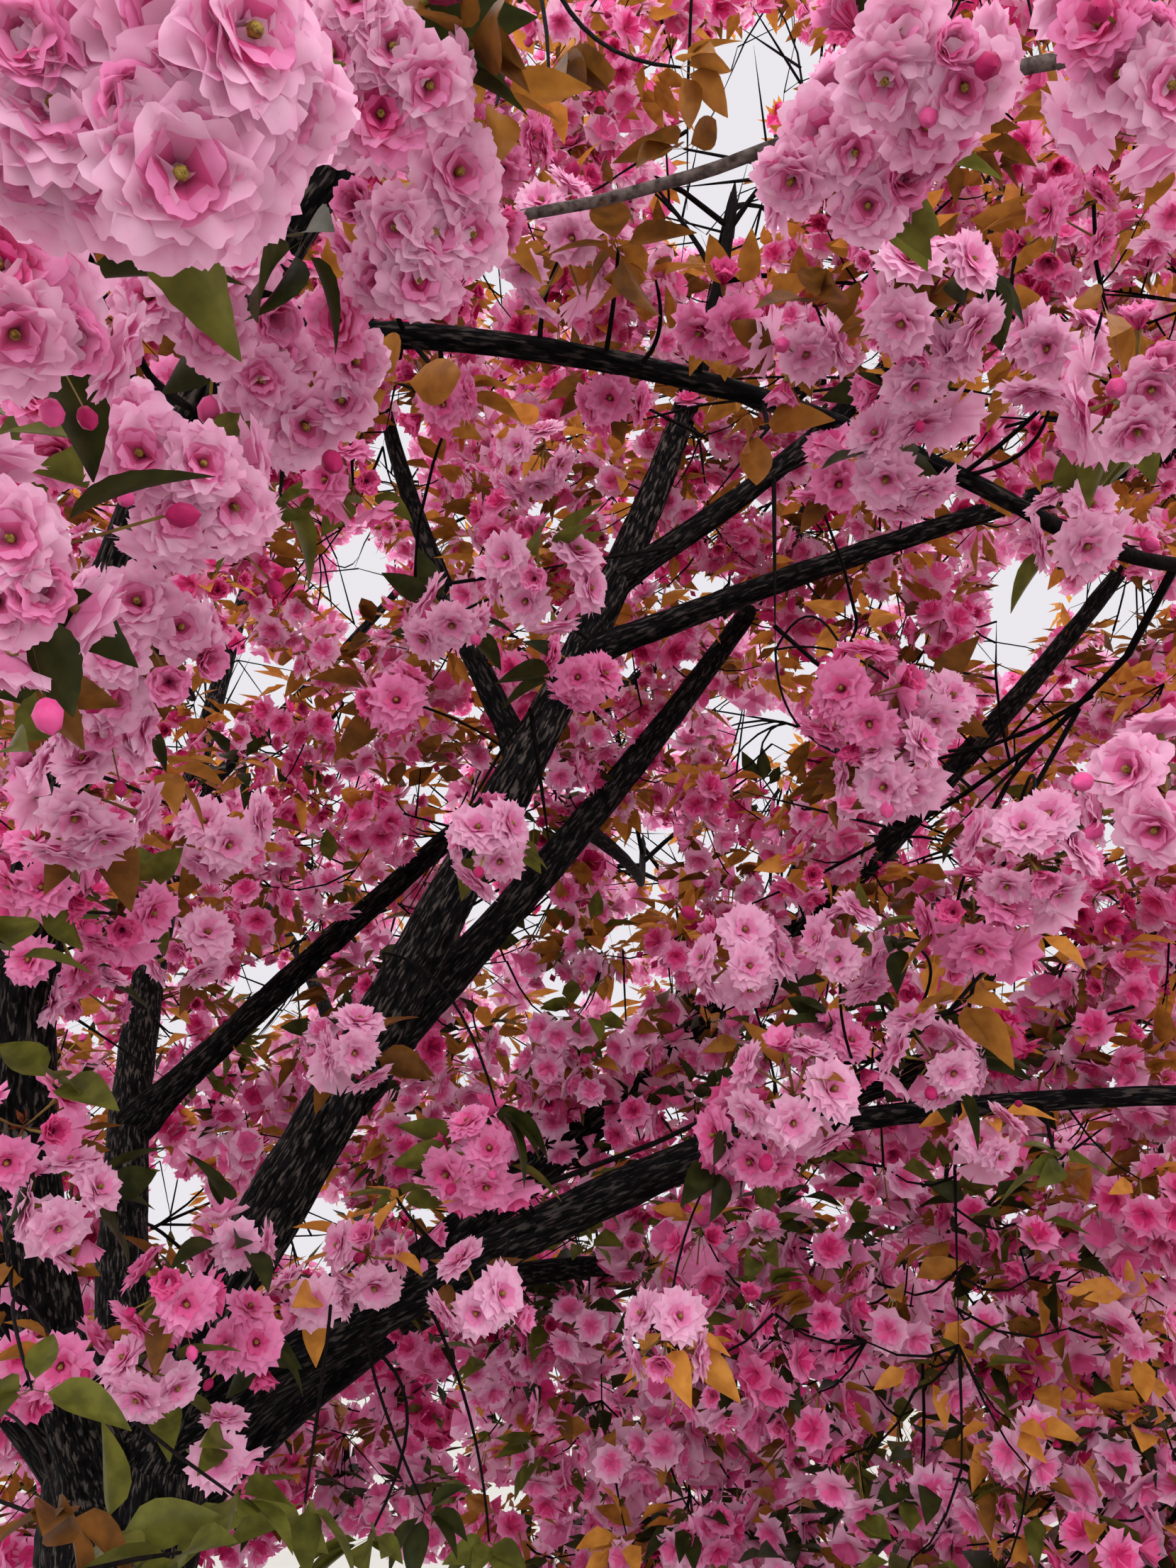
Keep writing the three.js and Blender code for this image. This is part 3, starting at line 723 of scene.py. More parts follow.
def group_flowers(middle, radius, pixels):
    """Places and ways of the flowers on the near side of a listed group."""
    rays = unit(np.array([at_pixel(*pixel, 1.0) for pixel in pixels]) - EYE)
    along = (middle - EYE) @ rays.T
    aside = np.linalg.norm(EYE + rays * along[:, None] - middle, axis=1)
    nearer = np.sqrt(np.maximum(radius ** 2 - aside ** 2, 0)) + RNG.normal(0, GROUP_JITTER, len(rays))
    places = EYE + rays * (along - nearer)[:, None]
    ways = GROUP_OUTWARD * unit(places - middle) - GROUP_OUTWARD * rays
    return places, unit(ways + RNG.normal(0, GROUP_TILT, rays.shape))


# Meshes: corners and four-cornered faces, gathered in heaps and joined
STEEP, STEEP_PATH = 0.95, 0.9


class Heap:
    """Corners and faces of one kind of thing, gathered to be joined."""

    def __init__(self):
        self.corners, self.faces, self.count = [], [], 0

    def add(self, corners, faces):
        corners = corners.reshape(-1, 3)
        self.corners.append(corners)
        self.faces.append(faces.reshape(-1, 4) + self.count)
        self.count += len(corners)

    def joined(self):
        return np.concatenate(self.corners), np.concatenate(self.faces)


def copies(corners, faces, frames, places, sizes):
    """A template's corners and faces, set down once for each frame, place and size."""
    placed = np.einsum("nij,vj->nvi", frames, corners) * sizes[:, None, None] + places[:, None]
    return placed, faces[None] + (np.arange(len(places)) * len(corners))[:, None, None]


def frames_along(axes, turned):
    """A frame for each axis, turned by an angle, with its third column along the axis."""
    axes = unit(axes)
    other = np.where(np.abs(axes[:, 2:]) < STEEP, UP, [0.0, 1.0, 0.0])
    first = unit(np.cross(other, axes))
    second = np.cross(axes, first)
    cos, sin = np.cos(turned)[:, None], np.sin(turned)[:, None]
    return np.stack([cos * first + sin * second, cos * second - sin * first, axes], -1)


def grid_faces(rows, cols):
    """Faces of a grid with rows + 1 by cols + 1 corners."""
    across = cols + 1
    corner = (np.arange(rows)[:, None] * across + np.arange(cols)).reshape(-1)
    return np.stack([corner, corner + 1, corner + across + 1, corner + across], 1)


def ring_faces(rings, sides):
    """Faces of a tube of rings, each with a number of corners."""
    row = np.arange(rings - 1)[:, None] * sides
    corner, following = row + np.arange(sides), row + (np.arange(sides) + 1) % sides
    return np.stack([corner, following, following + sides, corner + sides], -1).reshape(-1, 4)


def add_tubes(heap, paths, radii, sides):
    """Tubes along paths that all have the same number of points."""
    if not len(paths):
        return
    paths, radii = np.asarray(paths), np.asarray(radii)
    along = unit(np.gradient(paths, axis=1))
    whole = unit(paths[:, -1] - paths[:, 0])
    other = np.where(np.abs(whole[:, 2:]) < STEEP_PATH, UP, [1.0, 0.0, 0.0])
    side = unit(np.cross(along, other[:, None]))
    over = np.cross(side, along)
    angle = turns(sides)[:, None]
    ring = np.cos(angle) * side[:, :, None] + np.sin(angle) * over[:, :, None]
    corners = paths[:, :, None] + ring * radii[:, :, None, None]
    starts = np.arange(len(paths)) * paths.shape[1] * sides
    heap.add(corners, ring_faces(paths.shape[1], sides)[None] + starts[:, None, None])


STRIP_LEAN = np.array([0.3, 0.1, 0])
CURVE_CLOSING = 0.15


def add_strips(heap, starts, ends, width):
    """Thin flat strips from starts to ends."""
    side = unit(np.cross(ends - starts, UP + STRIP_LEAN)) * width / 2
    corners = np.stack([starts - side, starts + side, ends + side, ends - side], 1)
    heap.add(corners, np.arange(len(starts) * 4))


def add_curves(heap, curves, points, sides, closing=CURVE_CLOSING):
    """Tubes along curves, drawn in to a point over their last step."""
    shares = np.linspace(0, 1, points)
    radii = np.array([curve.radius(shares) for curve in curves])
    radii[:, -1] *= closing
    add_tubes(heap, np.array([curve.point(shares) for curve in curves]), radii, sides)


# Noise: smooth numbers from -1 to 1 in space, from random numbers on a lattice
LATTICE = 4096
LATTICE_STRIDES = (73856093, 19349663, 83492791)


def lattice_noise(points, seed):
    """Smooth noise at points: the lattice's random numbers, blended within each cell."""
    table = np.random.default_rng(seed).uniform(-1, 1, LATTICE)
    cell = np.floor(points).astype(np.int64)
    within = points - cell
    within = within * within * (3 - 2 * within)
    total = np.zeros(points.shape[:-1])
    for corner in np.ndindex(2, 2, 2):
        hashed = [(cell[..., axis] + corner[axis]) * LATTICE_STRIDES[axis] for axis in range(3)]
        weight = np.prod(np.where(corner, within, 1 - within), -1)
        total += weight * table[(hashed[0] ^ hashed[1] ^ hashed[2]) % LATTICE]
    return total


# Bark: a relief mesh for the trunk and each limb, with wavy fissures along the grain
GRAIN_SQUEEZE = 5.0
FISSURE_CELL = 0.0085
FISSURE_WIDTH = 0.30
LUMP_CELL = 0.055
COLLAR, COLLAR_FADE = 0.45, 1.1
RELIEF_MIDDLE = 0.7
LIMB_LUMPS, TRUNK_LUMPS = 0.07, 0.06
WARP, WARP_SCALE, FINE_SHARE, FINE_SCALE = 0.7, 0.45, 0.45, 2.3


def fissures(grain):
    """How high the bark stands from 0 in a fissure to 1 on a ridge, at points along the grain."""
    warped = grain / FISSURE_CELL
    warped = warped + WARP * lattice_noise(warped * WARP_SCALE, 3)[..., None]
    height = lattice_noise(warped, 1) + FINE_SHARE * lattice_noise(warped * FINE_SCALE, 2)
    return clamp(np.abs(height) / FISSURE_WIDTH)


def bark_rows(limb, ring_gap, sides, depth):
    """Corners of a limb's bark by ring, with their relief and grain."""
    rings = int(limb.length / ring_gap) + 1
    shares = np.linspace(0, 1, rings)
    centres = limb.stepped(rings - 1)
    bearing = np.radians(blend(limb.bearing, shares))
    along = limb.heading(shares)
    side = np.stack([np.sin(bearing), -np.cos(bearing), 0 * bearing], -1)
    over = np.cross(side, along)
    distance = shares * limb.length
    beyond = np.maximum(distance - limb.parent.radius(limb.at), 0)
    radius = limb.radius(shares) * (1 + COLLAR * np.exp(-beyond / (COLLAR_FADE * limb.radius(0))))
    angle = turns(sides)[:, None]
    outward = np.cos(angle) * side[:, None] + np.sin(angle) * over[:, None]
    turned = np.stack([np.cos(angle[:, 0]), np.sin(angle[:, 0])], -1)[None] * radius[:, None, None]
    lengthwise = np.broadcast_to(distance[:, None, None] / GRAIN_SQUEEZE, (rings, sides, 1))
    grain = np.concatenate([turned, lengthwise], -1) + len(limb.name)
    smooth = centres[:, None] + outward * radius[:, None, None]
    relief = fissures(grain)
    lumps = lattice_noise(smooth / LUMP_CELL, 4) * LIMB_LUMPS * radius[:, None]
    return smooth + outward * (depth * (relief - RELIEF_MIDDLE) + lumps)[..., None], relief, grain


# Trunk: its radius by height and bearing, as in the solid
TRUNK_TOP, TRUNK_FORK, TRUNK_CLOSING = 1.58, 1.48, 0.30
FLARE, FLARE_FADE, FLARE_LOBES, FLARE_BODY = 0.058, 0.120, 5, 0.7
CROTCH_SWELL, CROTCH_DRAW = 0.016, 0.86


def trunk_rows(limb, ring_gap, sides, depth):
    """Corners of the trunk's bark by level ring, with their relief and grain."""
    heights = np.linspace(0, TRUNK_TOP, int(TRUNK_TOP / ring_gap) + 1)[:, None]
    angle = turns(sides)[None]
    closing = clamp((heights - (TRUNK_TOP - TRUNK_CLOSING)) / TRUNK_CLOSING)
    lobes = FLARE_BODY + (1 - FLARE_BODY) * np.cos(FLARE_LOBES * angle)
    flare = FLARE * np.exp(-heights / FLARE_FADE) * lobes
    radius = blend(limb.diameter, heights / TRUNK_FORK) / 2 + flare
    radius = radius + CROTCH_SWELL * np.sin(math.pi * closing)
    radius = radius * np.sqrt(1 - CROTCH_DRAW * closing ** 4)
    outward = np.stack([np.cos(angle), np.sin(angle), 0 * angle], -1) + 0 * heights[..., None]
    slope = (limb.path[-1] - limb.path[0]) / limb.path[-1][2]
    centres = limb.path[0] + slope * heights[..., None]
    smooth = centres + outward * radius[..., None]
    grain = np.concatenate([outward[..., :2] * radius[..., None], smooth[..., 2:] / GRAIN_SQUEEZE], -1)
    relief = fissures(grain)
    lumps = lattice_noise(smooth / LUMP_CELL, 4) * TRUNK_LUMPS * radius
    rows = smooth + outward * (depth * (relief - RELIEF_MIDDLE) + lumps)[..., None]
    rows[-1] = centres[-1]
    return rows, relief, grain


# Petals: rings of curved and ruffled strips with notched tips, in levels of colour
PETAL_SIZES, PETAL_TURNS, PETAL_TILT = (0.9, 1.06), (-0.15, 0.15), 7
PETAL_FOOT, PETAL_FOOT_CURVE, PETAL_ROUND, PETAL_ROUND_PLAIN = 0.24, 0.85, 0.78, 0.62
NOTCH, NOTCH_PLAIN, NOTCH_SHARES, SHOULDER = 0.10, 0.14, (0.4, 1.2), 0.26
EDGE_JITTER, RUFFLE_WAVES, CUPPING = 0.035, 3.5, 0.22
YOUNG_LENGTH, YOUNG_OPENING = 0.8, (0.35, 0.5)


class FlowerForm:
    """A template flower facing +Z: its corners and faces by level of colour."""

    def __init__(self, rings, rows, cols, ruffle, seed):
        random = np.random.default_rng(seed)
        self.levels = {}
        for ring, (count, length, width, opening, level) in enumerate(rings):
            for n in range(count):
                sized = length * random.uniform(*PETAL_SIZES)
                corners = petal(sized, width, opening, rows, cols, ruffle, random)
                turn = FULL_TURN * (n + 0.5 * (ring % 2) + random.uniform(*PETAL_TURNS)) / count
                cos, sin = math.cos(turn), math.sin(turn)
                corners = corners @ np.array([[cos, sin, 0], [-sin, cos, 0], [0, 0, 1]])
                split = rows - 1
                if split:
                    self.add(level + 1, corners[: split + 1], split, cols)
                self.add(level, corners[split:], 1, cols)

    def add(self, level, corners, rows, cols):
        self.levels.setdefault(level, Heap()).add(corners, grid_faces(rows, cols))


def petal(length, width, opening, rows, cols, ruffle, random):
    """Corners of one petal by row, bending outwards from one angle off the axis to another."""
    u = np.linspace(0, 1, rows + 1)[:, None]
    v = np.linspace(-1, 1, cols + 1)[None]
    rounding = PETAL_ROUND if rows > 1 else PETAL_ROUND_PLAIN
    rounding = np.sin(math.pi * rounding * u ** PETAL_FOOT_CURVE)
    half = width / 2 * (PETAL_FOOT + (1 - PETAL_FOOT) * rounding)
    notch = (NOTCH if cols > 2 else NOTCH_PLAIN) * np.maximum(1 - 2 * np.abs(v), 0)
    notch = notch * random.uniform(*NOTCH_SHARES)
    shoulder = (SHOULDER if cols > 2 else 0.0) * np.abs(v) ** 3
    along = u + u ** 3 * (EDGE_JITTER * random.uniform(-1, 1, cols + 1) - notch - shoulder)
    first = math.radians(opening[0] + random.uniform(-PETAL_TILT, PETAL_TILT))
    bend = math.radians(opening[1] - opening[0])
    angle = first + bend * along
    out = length * (math.cos(first) - np.cos(angle)) / bend
    height = length * (np.sin(angle) - math.sin(first)) / bend
    waves = ruffle * length * u * np.sin(v * RUFFLE_WAVES + random.uniform(0, 6))
    swell = waves + CUPPING * half * v ** 2
    return np.stack([out - np.cos(angle) * swell, half * v + 0 * u, height + np.sin(angle) * swell], -1)


# Rings of petals from the outermost in: length, width and opening angles
PETAL_RINGS = [
    (0.0278, 0.0180, (60, 106)),
    (0.0262, 0.0170, (47, 93)),
    (0.0225, 0.0155, (33, 78)),
    (0.0175, 0.0130, (19, 62)),
    (0.0120, 0.0100, (8, 44)),
]


def rings_of(counts, widen, half_open, folded):
    """The rings a form has, with a level of colour each: the innermost is deeper, or all within."""
    rings = []
    borne = [(count, *ring) for count, ring in zip(counts, PETAL_RINGS) if count]
    for n, (count, length, width, opening) in enumerate(borne):
        level = int(n == len(borne) - 1) + int(folded and n > 0)
        if half_open:
            opening = (opening[0] * YOUNG_OPENING[0], opening[1] * YOUNG_OPENING[1])
            length, level = length * YOUNG_LENGTH, level + 1
        rings.append((count, length, width * widen, opening, level))
    return rings


# Detail by distance from the viewer: within, petals a ring, petal rows and columns, widening,
# ruffle, size of the flower
FORMS_A_TIER = 3
SEEDS_A_TIER, YOUNG_SEED, YOUNG_RINGS = 100, 50, 3
TIERS = [
    (0.95, (10, 9, 8, 6, 0), 3, 6, 1.12, 0.06, 1.04),
    (1.65, (10, 9, 7, 5, 0), 2, 2, 1.05, 0.08, 1.04),
    (2.50, (9, 0, 7, 4, 0), 1, 2, 1.1, 0.08, 1.08),
    (3.40, (8, 0, 6, 0, 0), 1, 1, 1.2, 0.0, 1.14),
    (99.0, (6, 0, 4, 0, 0), 1, 1, 1.5, 0.0, 1.20),
    (99.0, (5, 0, 3, 0, 0), 1, 1, 1.7, 0.0, 1.35),
]
LAST_IN_VIEW, OUT_OF_VIEW = 4, 5
NEAR_TIERS, LAST_NEAR_TIER, LAST_FINE_TIER = 2, 1, 2
FOLDED_TIERS = (2, 4)
FACING_AWAY = -0.15
TIERS_DOWN = 1


def tier_of(points):
    """Which tier of detail things at points get, from how near they stand in the photograph."""
    distance = from_eye(points)
    limits = np.array([tier[0] for tier in TIERS[:LAST_IN_VIEW]])
    return np.where(in_frame(points), (distance[:, None] > limits).sum(1), OUT_OF_VIEW)


def forms_of(tier_index):
    """The open template flowers of a tier, and the young one."""
    _, counts, rows, cols, widen, ruffle, _ = TIERS[tier_index]
    folded = FOLDED_TIERS[0] <= tier_index <= FOLDED_TIERS[1]
    seed = SEEDS_A_TIER * tier_index
    opened = [
        FlowerForm(rings_of(counts, widen, False, folded), rows, cols, ruffle, seed + n)
        for n in range(FORMS_A_TIER)
    ]
    young_rings = rings_of(counts[:YOUNG_RINGS], widen, True, False)
    return opened, FlowerForm(young_rings, rows, cols, ruffle, seed + YOUNG_SEED)


# Bunches: flowers spread over a ball round the end of each side twig
CAP = 0.6
YOUNG_SHARE = 0.16
FLOWER_BACK = 0.006
FLOWER_GAP, BALL_COVER, BALL_CORE, BALL_DROP = 0.0215, 1.62, 0.004, 0.03
BALL_SHARES, AWAY_JITTER, TILT_JITTER, FLOWER_SIZES = (0.85, 1.18), 0.14, 0.22, (0.88, 1.12)
FIRST_ORDER, FIRST_ORDER_NEAR = 0.5, 0.1
DEEP_IN = 0.6
AXIS_ALONG, AXIS_DOWN, AXIS_OUT = 0.5, 0.7, 0.3
NEAR_AXIS_OUT, NEAR_AXIS_DOWN = 0.8, 0.4
PALE, MIDDLE, DEEP = 0, 1, 2
SHADES = 5
PALE_SHARES, PALE_SHARE_NEAR, PALE_SHARE_GROUP, DEEP_SHARE = (0.45, 0.95), 0.7, 0.88, 0.06

bunch_end = np.concatenate([spur_end, near_end])
bunch_heading = np.concatenate([spur_heading, near_heading])
bunch_count = np.concatenate([spur_flowers, near_flowers])
bunch_outward = unit(bunch_end - CROWN_CENTRE)
bunch_axis = unit(AXIS_ALONG * bunch_heading - AXIS_DOWN * UP + AXIS_OUT * bunch_outward)
is_near = np.arange(len(bunch_end)) >= len(spur_end)
near_axis = unit(NEAR_AXIS_OUT * unit(EYE - bunch_end) - NEAR_AXIS_DOWN * UP)
bunch_axis = np.where(is_near[:, None], near_axis, bunch_axis)
bunch_layers = np.append(spur_layers, np.zeros(len(near_end)))
# Painted light: bunches behind more layers of others, deeper in the crown's shade, are more often pale,
# which lifts that shade
pale_share = np.where(is_near, PALE_SHARE_NEAR, blend(PALE_SHARES, clamp(bunch_layers / LAYERS_PLAIN)))
bunch_tone = np.where(RNG.random(len(bunch_end)) < pale_share, PALE, MIDDLE)
bunch_tone = np.where((RNG.random(len(bunch_end)) < DEEP_SHARE) & ~is_near, DEEP, bunch_tone)
is_group = np.isin(np.arange(len(bunch_end)) - len(spur_end), np.arange(len(NEAR_GROUPS)))

bunch_of = np.repeat(np.arange(len(bunch_end)), bunch_count)
order = np.concatenate([np.arange(count) for count in bunch_count])
order = order + np.where(is_near, FIRST_ORDER_NEAR, FIRST_ORDER)[bunch_of]
height = 1 - (1 + CAP) * order / bunch_count[bunch_of]
level = np.sqrt(1 - height ** 2)
turn = order * GOLDEN_TURN
local = np.stack([level * np.cos(turn), level * np.sin(turn), height], -1)
bunch_frames = frames_along(bunch_axis, random_turns(len(bunch_end)))
away = np.einsum("nij,nj->ni", bunch_frames[bunch_of], local)
away = unit(away + RNG.normal(0, AWAY_JITTER, local.shape))
ball = FLOWER_GAP * np.sqrt(bunch_count / (BALL_COVER * (1 + CAP))) + BALL_CORE
ball_middle = bunch_end + np.where(is_near, 0, BALL_DROP)[:, None] * bunch_axis
flower_out = ball[bunch_of] * RNG.uniform(*BALL_SHARES, len(bunch_of))
flower_place = ball_middle[bunch_of] + away * flower_out[:, None]
flower_axis = unit(away + RNG.normal(0, TILT_JITTER, away.shape))

# Flowers that face neither the viewer nor out of the crown are never seen, and are left out
HIDDEN_FACING, HIDDEN_OUTWARD = -0.18, 0.15


def facing_eye(axes, places):
    """How squarely things face the viewer, from -1 to 1."""
    return (axes * unit(EYE - places)).sum(1)


facing = facing_eye(flower_axis, flower_place)
outward = (flower_axis * bunch_outward[bunch_of]).sum(1)
outward = np.where(np.append(depth_in, np.zeros(len(near_end)))[bunch_of] > DEEP_IN, outward, -1)
seen = (in_frame(flower_place) & (facing > HIDDEN_FACING)) | (outward > HIDDEN_OUTWARD)
seen |= from_eye(flower_place) < NEAR_VIEW
seen &= ~(is_group[bunch_of] & (facing > 0))
set_rows = [group_flowers(middle, *row[1:]) for middle, row in zip(group_middle, NEAR_GROUPS)]
set_of = np.repeat(np.arange(len(NEAR_GROUPS)), [len(row[2]) for row in NEAR_GROUPS])
set_of = set_of + len(spur_end)
bunch_of = np.concatenate([bunch_of[seen], set_of])
flower_place = np.concatenate([flower_place[seen]] + [row[0] for row in set_rows])
flower_axis = np.concatenate([flower_axis[seen]] + [row[1] for row in set_rows])
facing = facing_eye(flower_axis, flower_place)

flower_tier = tier_of(flower_place)
plainer = np.minimum(flower_tier + 1, LAST_IN_VIEW)
plainer = np.where(flower_tier > LAST_FINE_TIER, OUT_OF_VIEW, plainer)
flower_tier = np.where(bunch_layers[bunch_of] > LAYERS_PLAIN, plainer, flower_tier)
lowered = np.minimum(flower_tier + TIERS_DOWN, LAST_IN_VIEW)
flower_tier = np.where((facing < FACING_AWAY) & (flower_tier < LAST_IN_VIEW), lowered, flower_tier)
tier_sizes = np.array([tier[-1] for tier in TIERS])
flower_size = RNG.uniform(*FLOWER_SIZES, len(bunch_of)) * tier_sizes[flower_tier]
flower_back = flower_place - flower_axis * FLOWER_BACK
flower_frames = frames_along(flower_axis, random_turns(len(bunch_of)))
own_tone = np.where(RNG.random(len(bunch_of)) < PALE_SHARE_GROUP, PALE, MIDDLE)
flower_tone = np.where(is_group[bunch_of], own_tone, bunch_tone[bunch_of])
young = RNG.random(len(bunch_of)) < YOUNG_SHARE
form_of = RNG.integers(0, FORMS_A_TIER, len(bunch_of))

near_petals, far_petals = ([Heap() for _ in range(SHADES)] for _ in range(2))
for tier_index in range(len(TIERS)):
    opened, closed = forms_of(tier_index)
    petals = near_petals if tier_index < NEAR_TIERS else far_petals
    choices = [(form, ~young & (form_of == n)) for n, form in enumerate(opened)] + [(closed, young)]
    for form, chosen_form in choices:
        for tone in (PALE, MIDDLE, DEEP):
            chosen = (flower_tier == tier_index) & chosen_form & (flower_tone == tone)
            spots = flower_frames[chosen], flower_back[chosen], flower_size[chosen]
            for colour_level, heap in form.levels.items():
                petals[min(tone + colour_level, SHADES - 1)].add(*copies(*heap.joined(), *spots))


# Eyes: a low dome in the middle of each open flower that stands near
def turned_form(profile, sides):
    """Corners and faces turned from a profile of radii and heights."""
    corners = [(r * math.cos(a), r * math.sin(a), z) for r, z in profile for a in turns(sides)]
    return np.array(corners), ring_faces(len(profile), sides)


EYE_PROFILE = [(0.0016, 0.003), (0.0022, 0.0095), (0.0012, 0.0108), (0.0001, 0.0104)]
EYE_SIDES = 6
eyes = Heap()
near_flower = flower_tier <= LAST_NEAR_TIER
chosen = near_flower & ~young
spots = flower_frames[chosen], flower_back[chosen], flower_size[chosen]
eyes.add(*copies(*turned_form(EYE_PROFILE, EYE_SIDES), *spots))

# Stalks: bent, with a cup under each near flower, and plain strips under the others
STALK_RADIUS, STALK_WIDENING, STALK_SIDES = 0.0011, (1, 1, 1.4, 3), 4
STALK_BEND, CUP_LENGTH = 0.008, 0.007
stalks = Heap()
stalk_foot = bunch_end[bunch_of]
stalk_bend = (stalk_foot + flower_back) / 2 - flower_axis * STALK_BEND
stalk_cup = flower_back - flower_axis * CUP_LENGTH
stalk_paths = np.stack([stalk_foot, stalk_bend, stalk_cup, flower_back], 1)[near_flower]
stalk_radii = np.tile(STALK_RADIUS * np.array(STALK_WIDENING), (len(stalk_paths), 1))
add_tubes(stalks, stalk_paths, stalk_radii, STALK_SIDES)
far_flower = ~near_flower & (flower_tier < LAST_IN_VIEW)
add_strips(stalks, stalk_foot[far_flower], flower_back[far_flower], 2 * STALK_RADIUS)

# Buds: drops that hang on their own stalks from most bunches
BUD_SHARE, BUD_SHARE_OUT_OF_VIEW, SECOND_BUD_SHARE = 0.45, 0.15, 0.4
BUD_REACH, BUD_SIZES, ROSY_SHARE = (0.045, 0.075), (0.75, 1.3), 0.4
BUD_SPREAD, BUD_SINK, BUD_HANG = 0.7, 0.5, 0.3
BUD_PROFILE = [(0.0003, 0.0), (0.0035, 0.002), (0.0058, 0.007), (0.0045, 0.012), (0.0003, 0.0155)]
FAR_BUD_PROFILE = [(0.0003, 0.0), (0.0062, 0.008), (0.0003, 0.0155)]
BUD_SIDES, FAR_BUD_SIDES = 7, 4
buds = [Heap(), Heap()]
bud_share = np.where(in_frame(bunch_end), BUD_SHARE, BUD_SHARE_OUT_OF_VIEW)
bud_of = np.flatnonzero(RNG.random(len(bunch_end)) < bud_share)
bud_of = np.concatenate([bud_of, bud_of[RNG.random(len(bud_of)) < SECOND_BUD_SHARE]])
bud_away = RNG.normal(0, BUD_SPREAD, (len(bud_of), 3)) + bunch_heading[bud_of] - BUD_SINK * UP
bud_away = unit(bud_away)
bud_place = bunch_end[bud_of] + bud_away * RNG.uniform(*BUD_REACH, (len(bud_of), 1))
bud_frames = frames_along(bud_away - BUD_HANG * UP, random_turns(len(bud_of)))
bud_size = RNG.uniform(*BUD_SIZES, len(bud_of))
bud_rosy = RNG.random(len(bud_of)) < ROSY_SHARE
near_bud = tier_of(bud_place) <= LAST_NEAR_TIER
near_form, far_form = turned_form(BUD_PROFILE, BUD_SIDES), turned_form(FAR_BUD_PROFILE, FAR_BUD_SIDES)
for form, chosen in ((near_form, near_bud), (far_form, ~near_bud)):
    for rosy in (0, 1):
        use = chosen & (bud_rosy == rosy)
        buds[rosy].add(*copies(*form, bud_frames[use], bud_place[use], bud_size[use]))
add_strips(stalks, bunch_end[bud_of], bud_place, 2 * STALK_RADIUS)


# Leaves: pointed ovals folded along the midrib and bent down, toothed where they stand near
LEAF_COLOURS = 5
# Leaf colours: the orange and the dark bronze are the bronze made lighter and darker, painted light and
# painted shade over the leaves' own spread of tone
BRONZE, SHADED_BRONZE, LIT_ORANGE, DARK_GREEN, GREEN = range(LEAF_COLOURS)
LEAF_STALK, LEAF_STALK_HALF = 0.16, 0.006
LEAF_HALF, LEAF_POINT, LEAF_EDGE, LEAF_NARROWING = 0.235, 0.76, 0.9, 0.2
LEAF_DROOP, LEAF_FOLD, LEAF_FOLD_CURVE = -0.30, 0.42, 1.4


def leaf_form(stations, cols, teeth):
    """A template leaf 1 long with its tip along +Z, its face to +Y, from the foot of its stalk."""
    u = np.linspace(0, 1, stations)[:, None]
    v = np.linspace(-1, 1, cols + 1)[None]
    half = LEAF_HALF * np.sin(math.pi * u ** LEAF_POINT) ** LEAF_EDGE * (1 - LEAF_NARROWING * u)
    half = half * (1 + teeth * np.where(np.arange(stations) % 2, 1, -1)[:, None]) + LEAF_STALK_HALF
    along = LEAF_STALK + (1 - LEAF_STALK) * u
    face = LEAF_DROOP * along ** 2 + LEAF_FOLD * half * np.abs(v) ** LEAF_FOLD_CURVE
    corners = np.stack([half * v, face, along + 0 * v], -1)
    foot = np.stack([LEAF_STALK_HALF * v[0], 0 * v[0], 0 * v[0]], -1)[None]
    return np.concatenate([foot, corners]).reshape(-1, 3), grid_faces(stations, cols)


LEAF_DETAIL, SCALE_DETAIL = [(15, 4, 0.03), (7, 4, 0), (4, 2, 0)], (3, 1, 0)
FAR_LEAF = np.array([(0, 0, 0), (0.19, -0.06, 0.5), (0, -0.28, 1), (-0.19, -0.06, 0.5)])
LEAF_LENGTH = (0.050, 0.082)
LEAF_AWAY = 0.9
LOW_TUFTS = 1.75
GREEN_LOW, GREEN_FALL, GREEN_HEIGHT = 0.7, 0.5, 1.4
LEAF_ALONG, TUFT_ALONG, LEAF_RISE, LEAF_OUT, LEAF_ROLL = 0.3, 0.8, 0.1, 0.02, 0.6
IN_VIEW_LEAVES, OUT_LEAVES = (5, 8), (3, 6)
leaves = [Heap() for _ in range(LEAF_COLOURS)]

spray_end = np.concatenate([bunch_end, tuft_end])
spray_heading = np.concatenate([bunch_heading, tuft_heading])
leaves_in_view = RNG.integers(*IN_VIEW_LEAVES, len(bunch_end))
leaves_out = RNG.integers(*OUT_LEAVES, len(bunch_end))
bunch_leaves = np.where(in_frame(bunch_end), leaves_in_view, leaves_out)
is_leafy = np.append(leafy, np.zeros(len(near_end), bool))
bunch_leaves = np.where(is_leafy, bunch_leaves + LEAFY_LEAVES, bunch_leaves)
bunch_leaves = np.where(is_near, bunch_leaves - 1, bunch_leaves)
spray_leaves = np.concatenate([bunch_leaves, tuft_leaves])
is_tuft = np.arange(len(spray_end)) >= len(bunch_end)
green_chance = clamp(GREEN_LOW - GREEN_FALL * (spray_end[:, 2] - GREEN_HEIGHT))
greenish = RNG.random(len(spray_end)) < green_chance
greenish |= is_tuft & (spray_end[:, 2] < LOW_TUFTS)
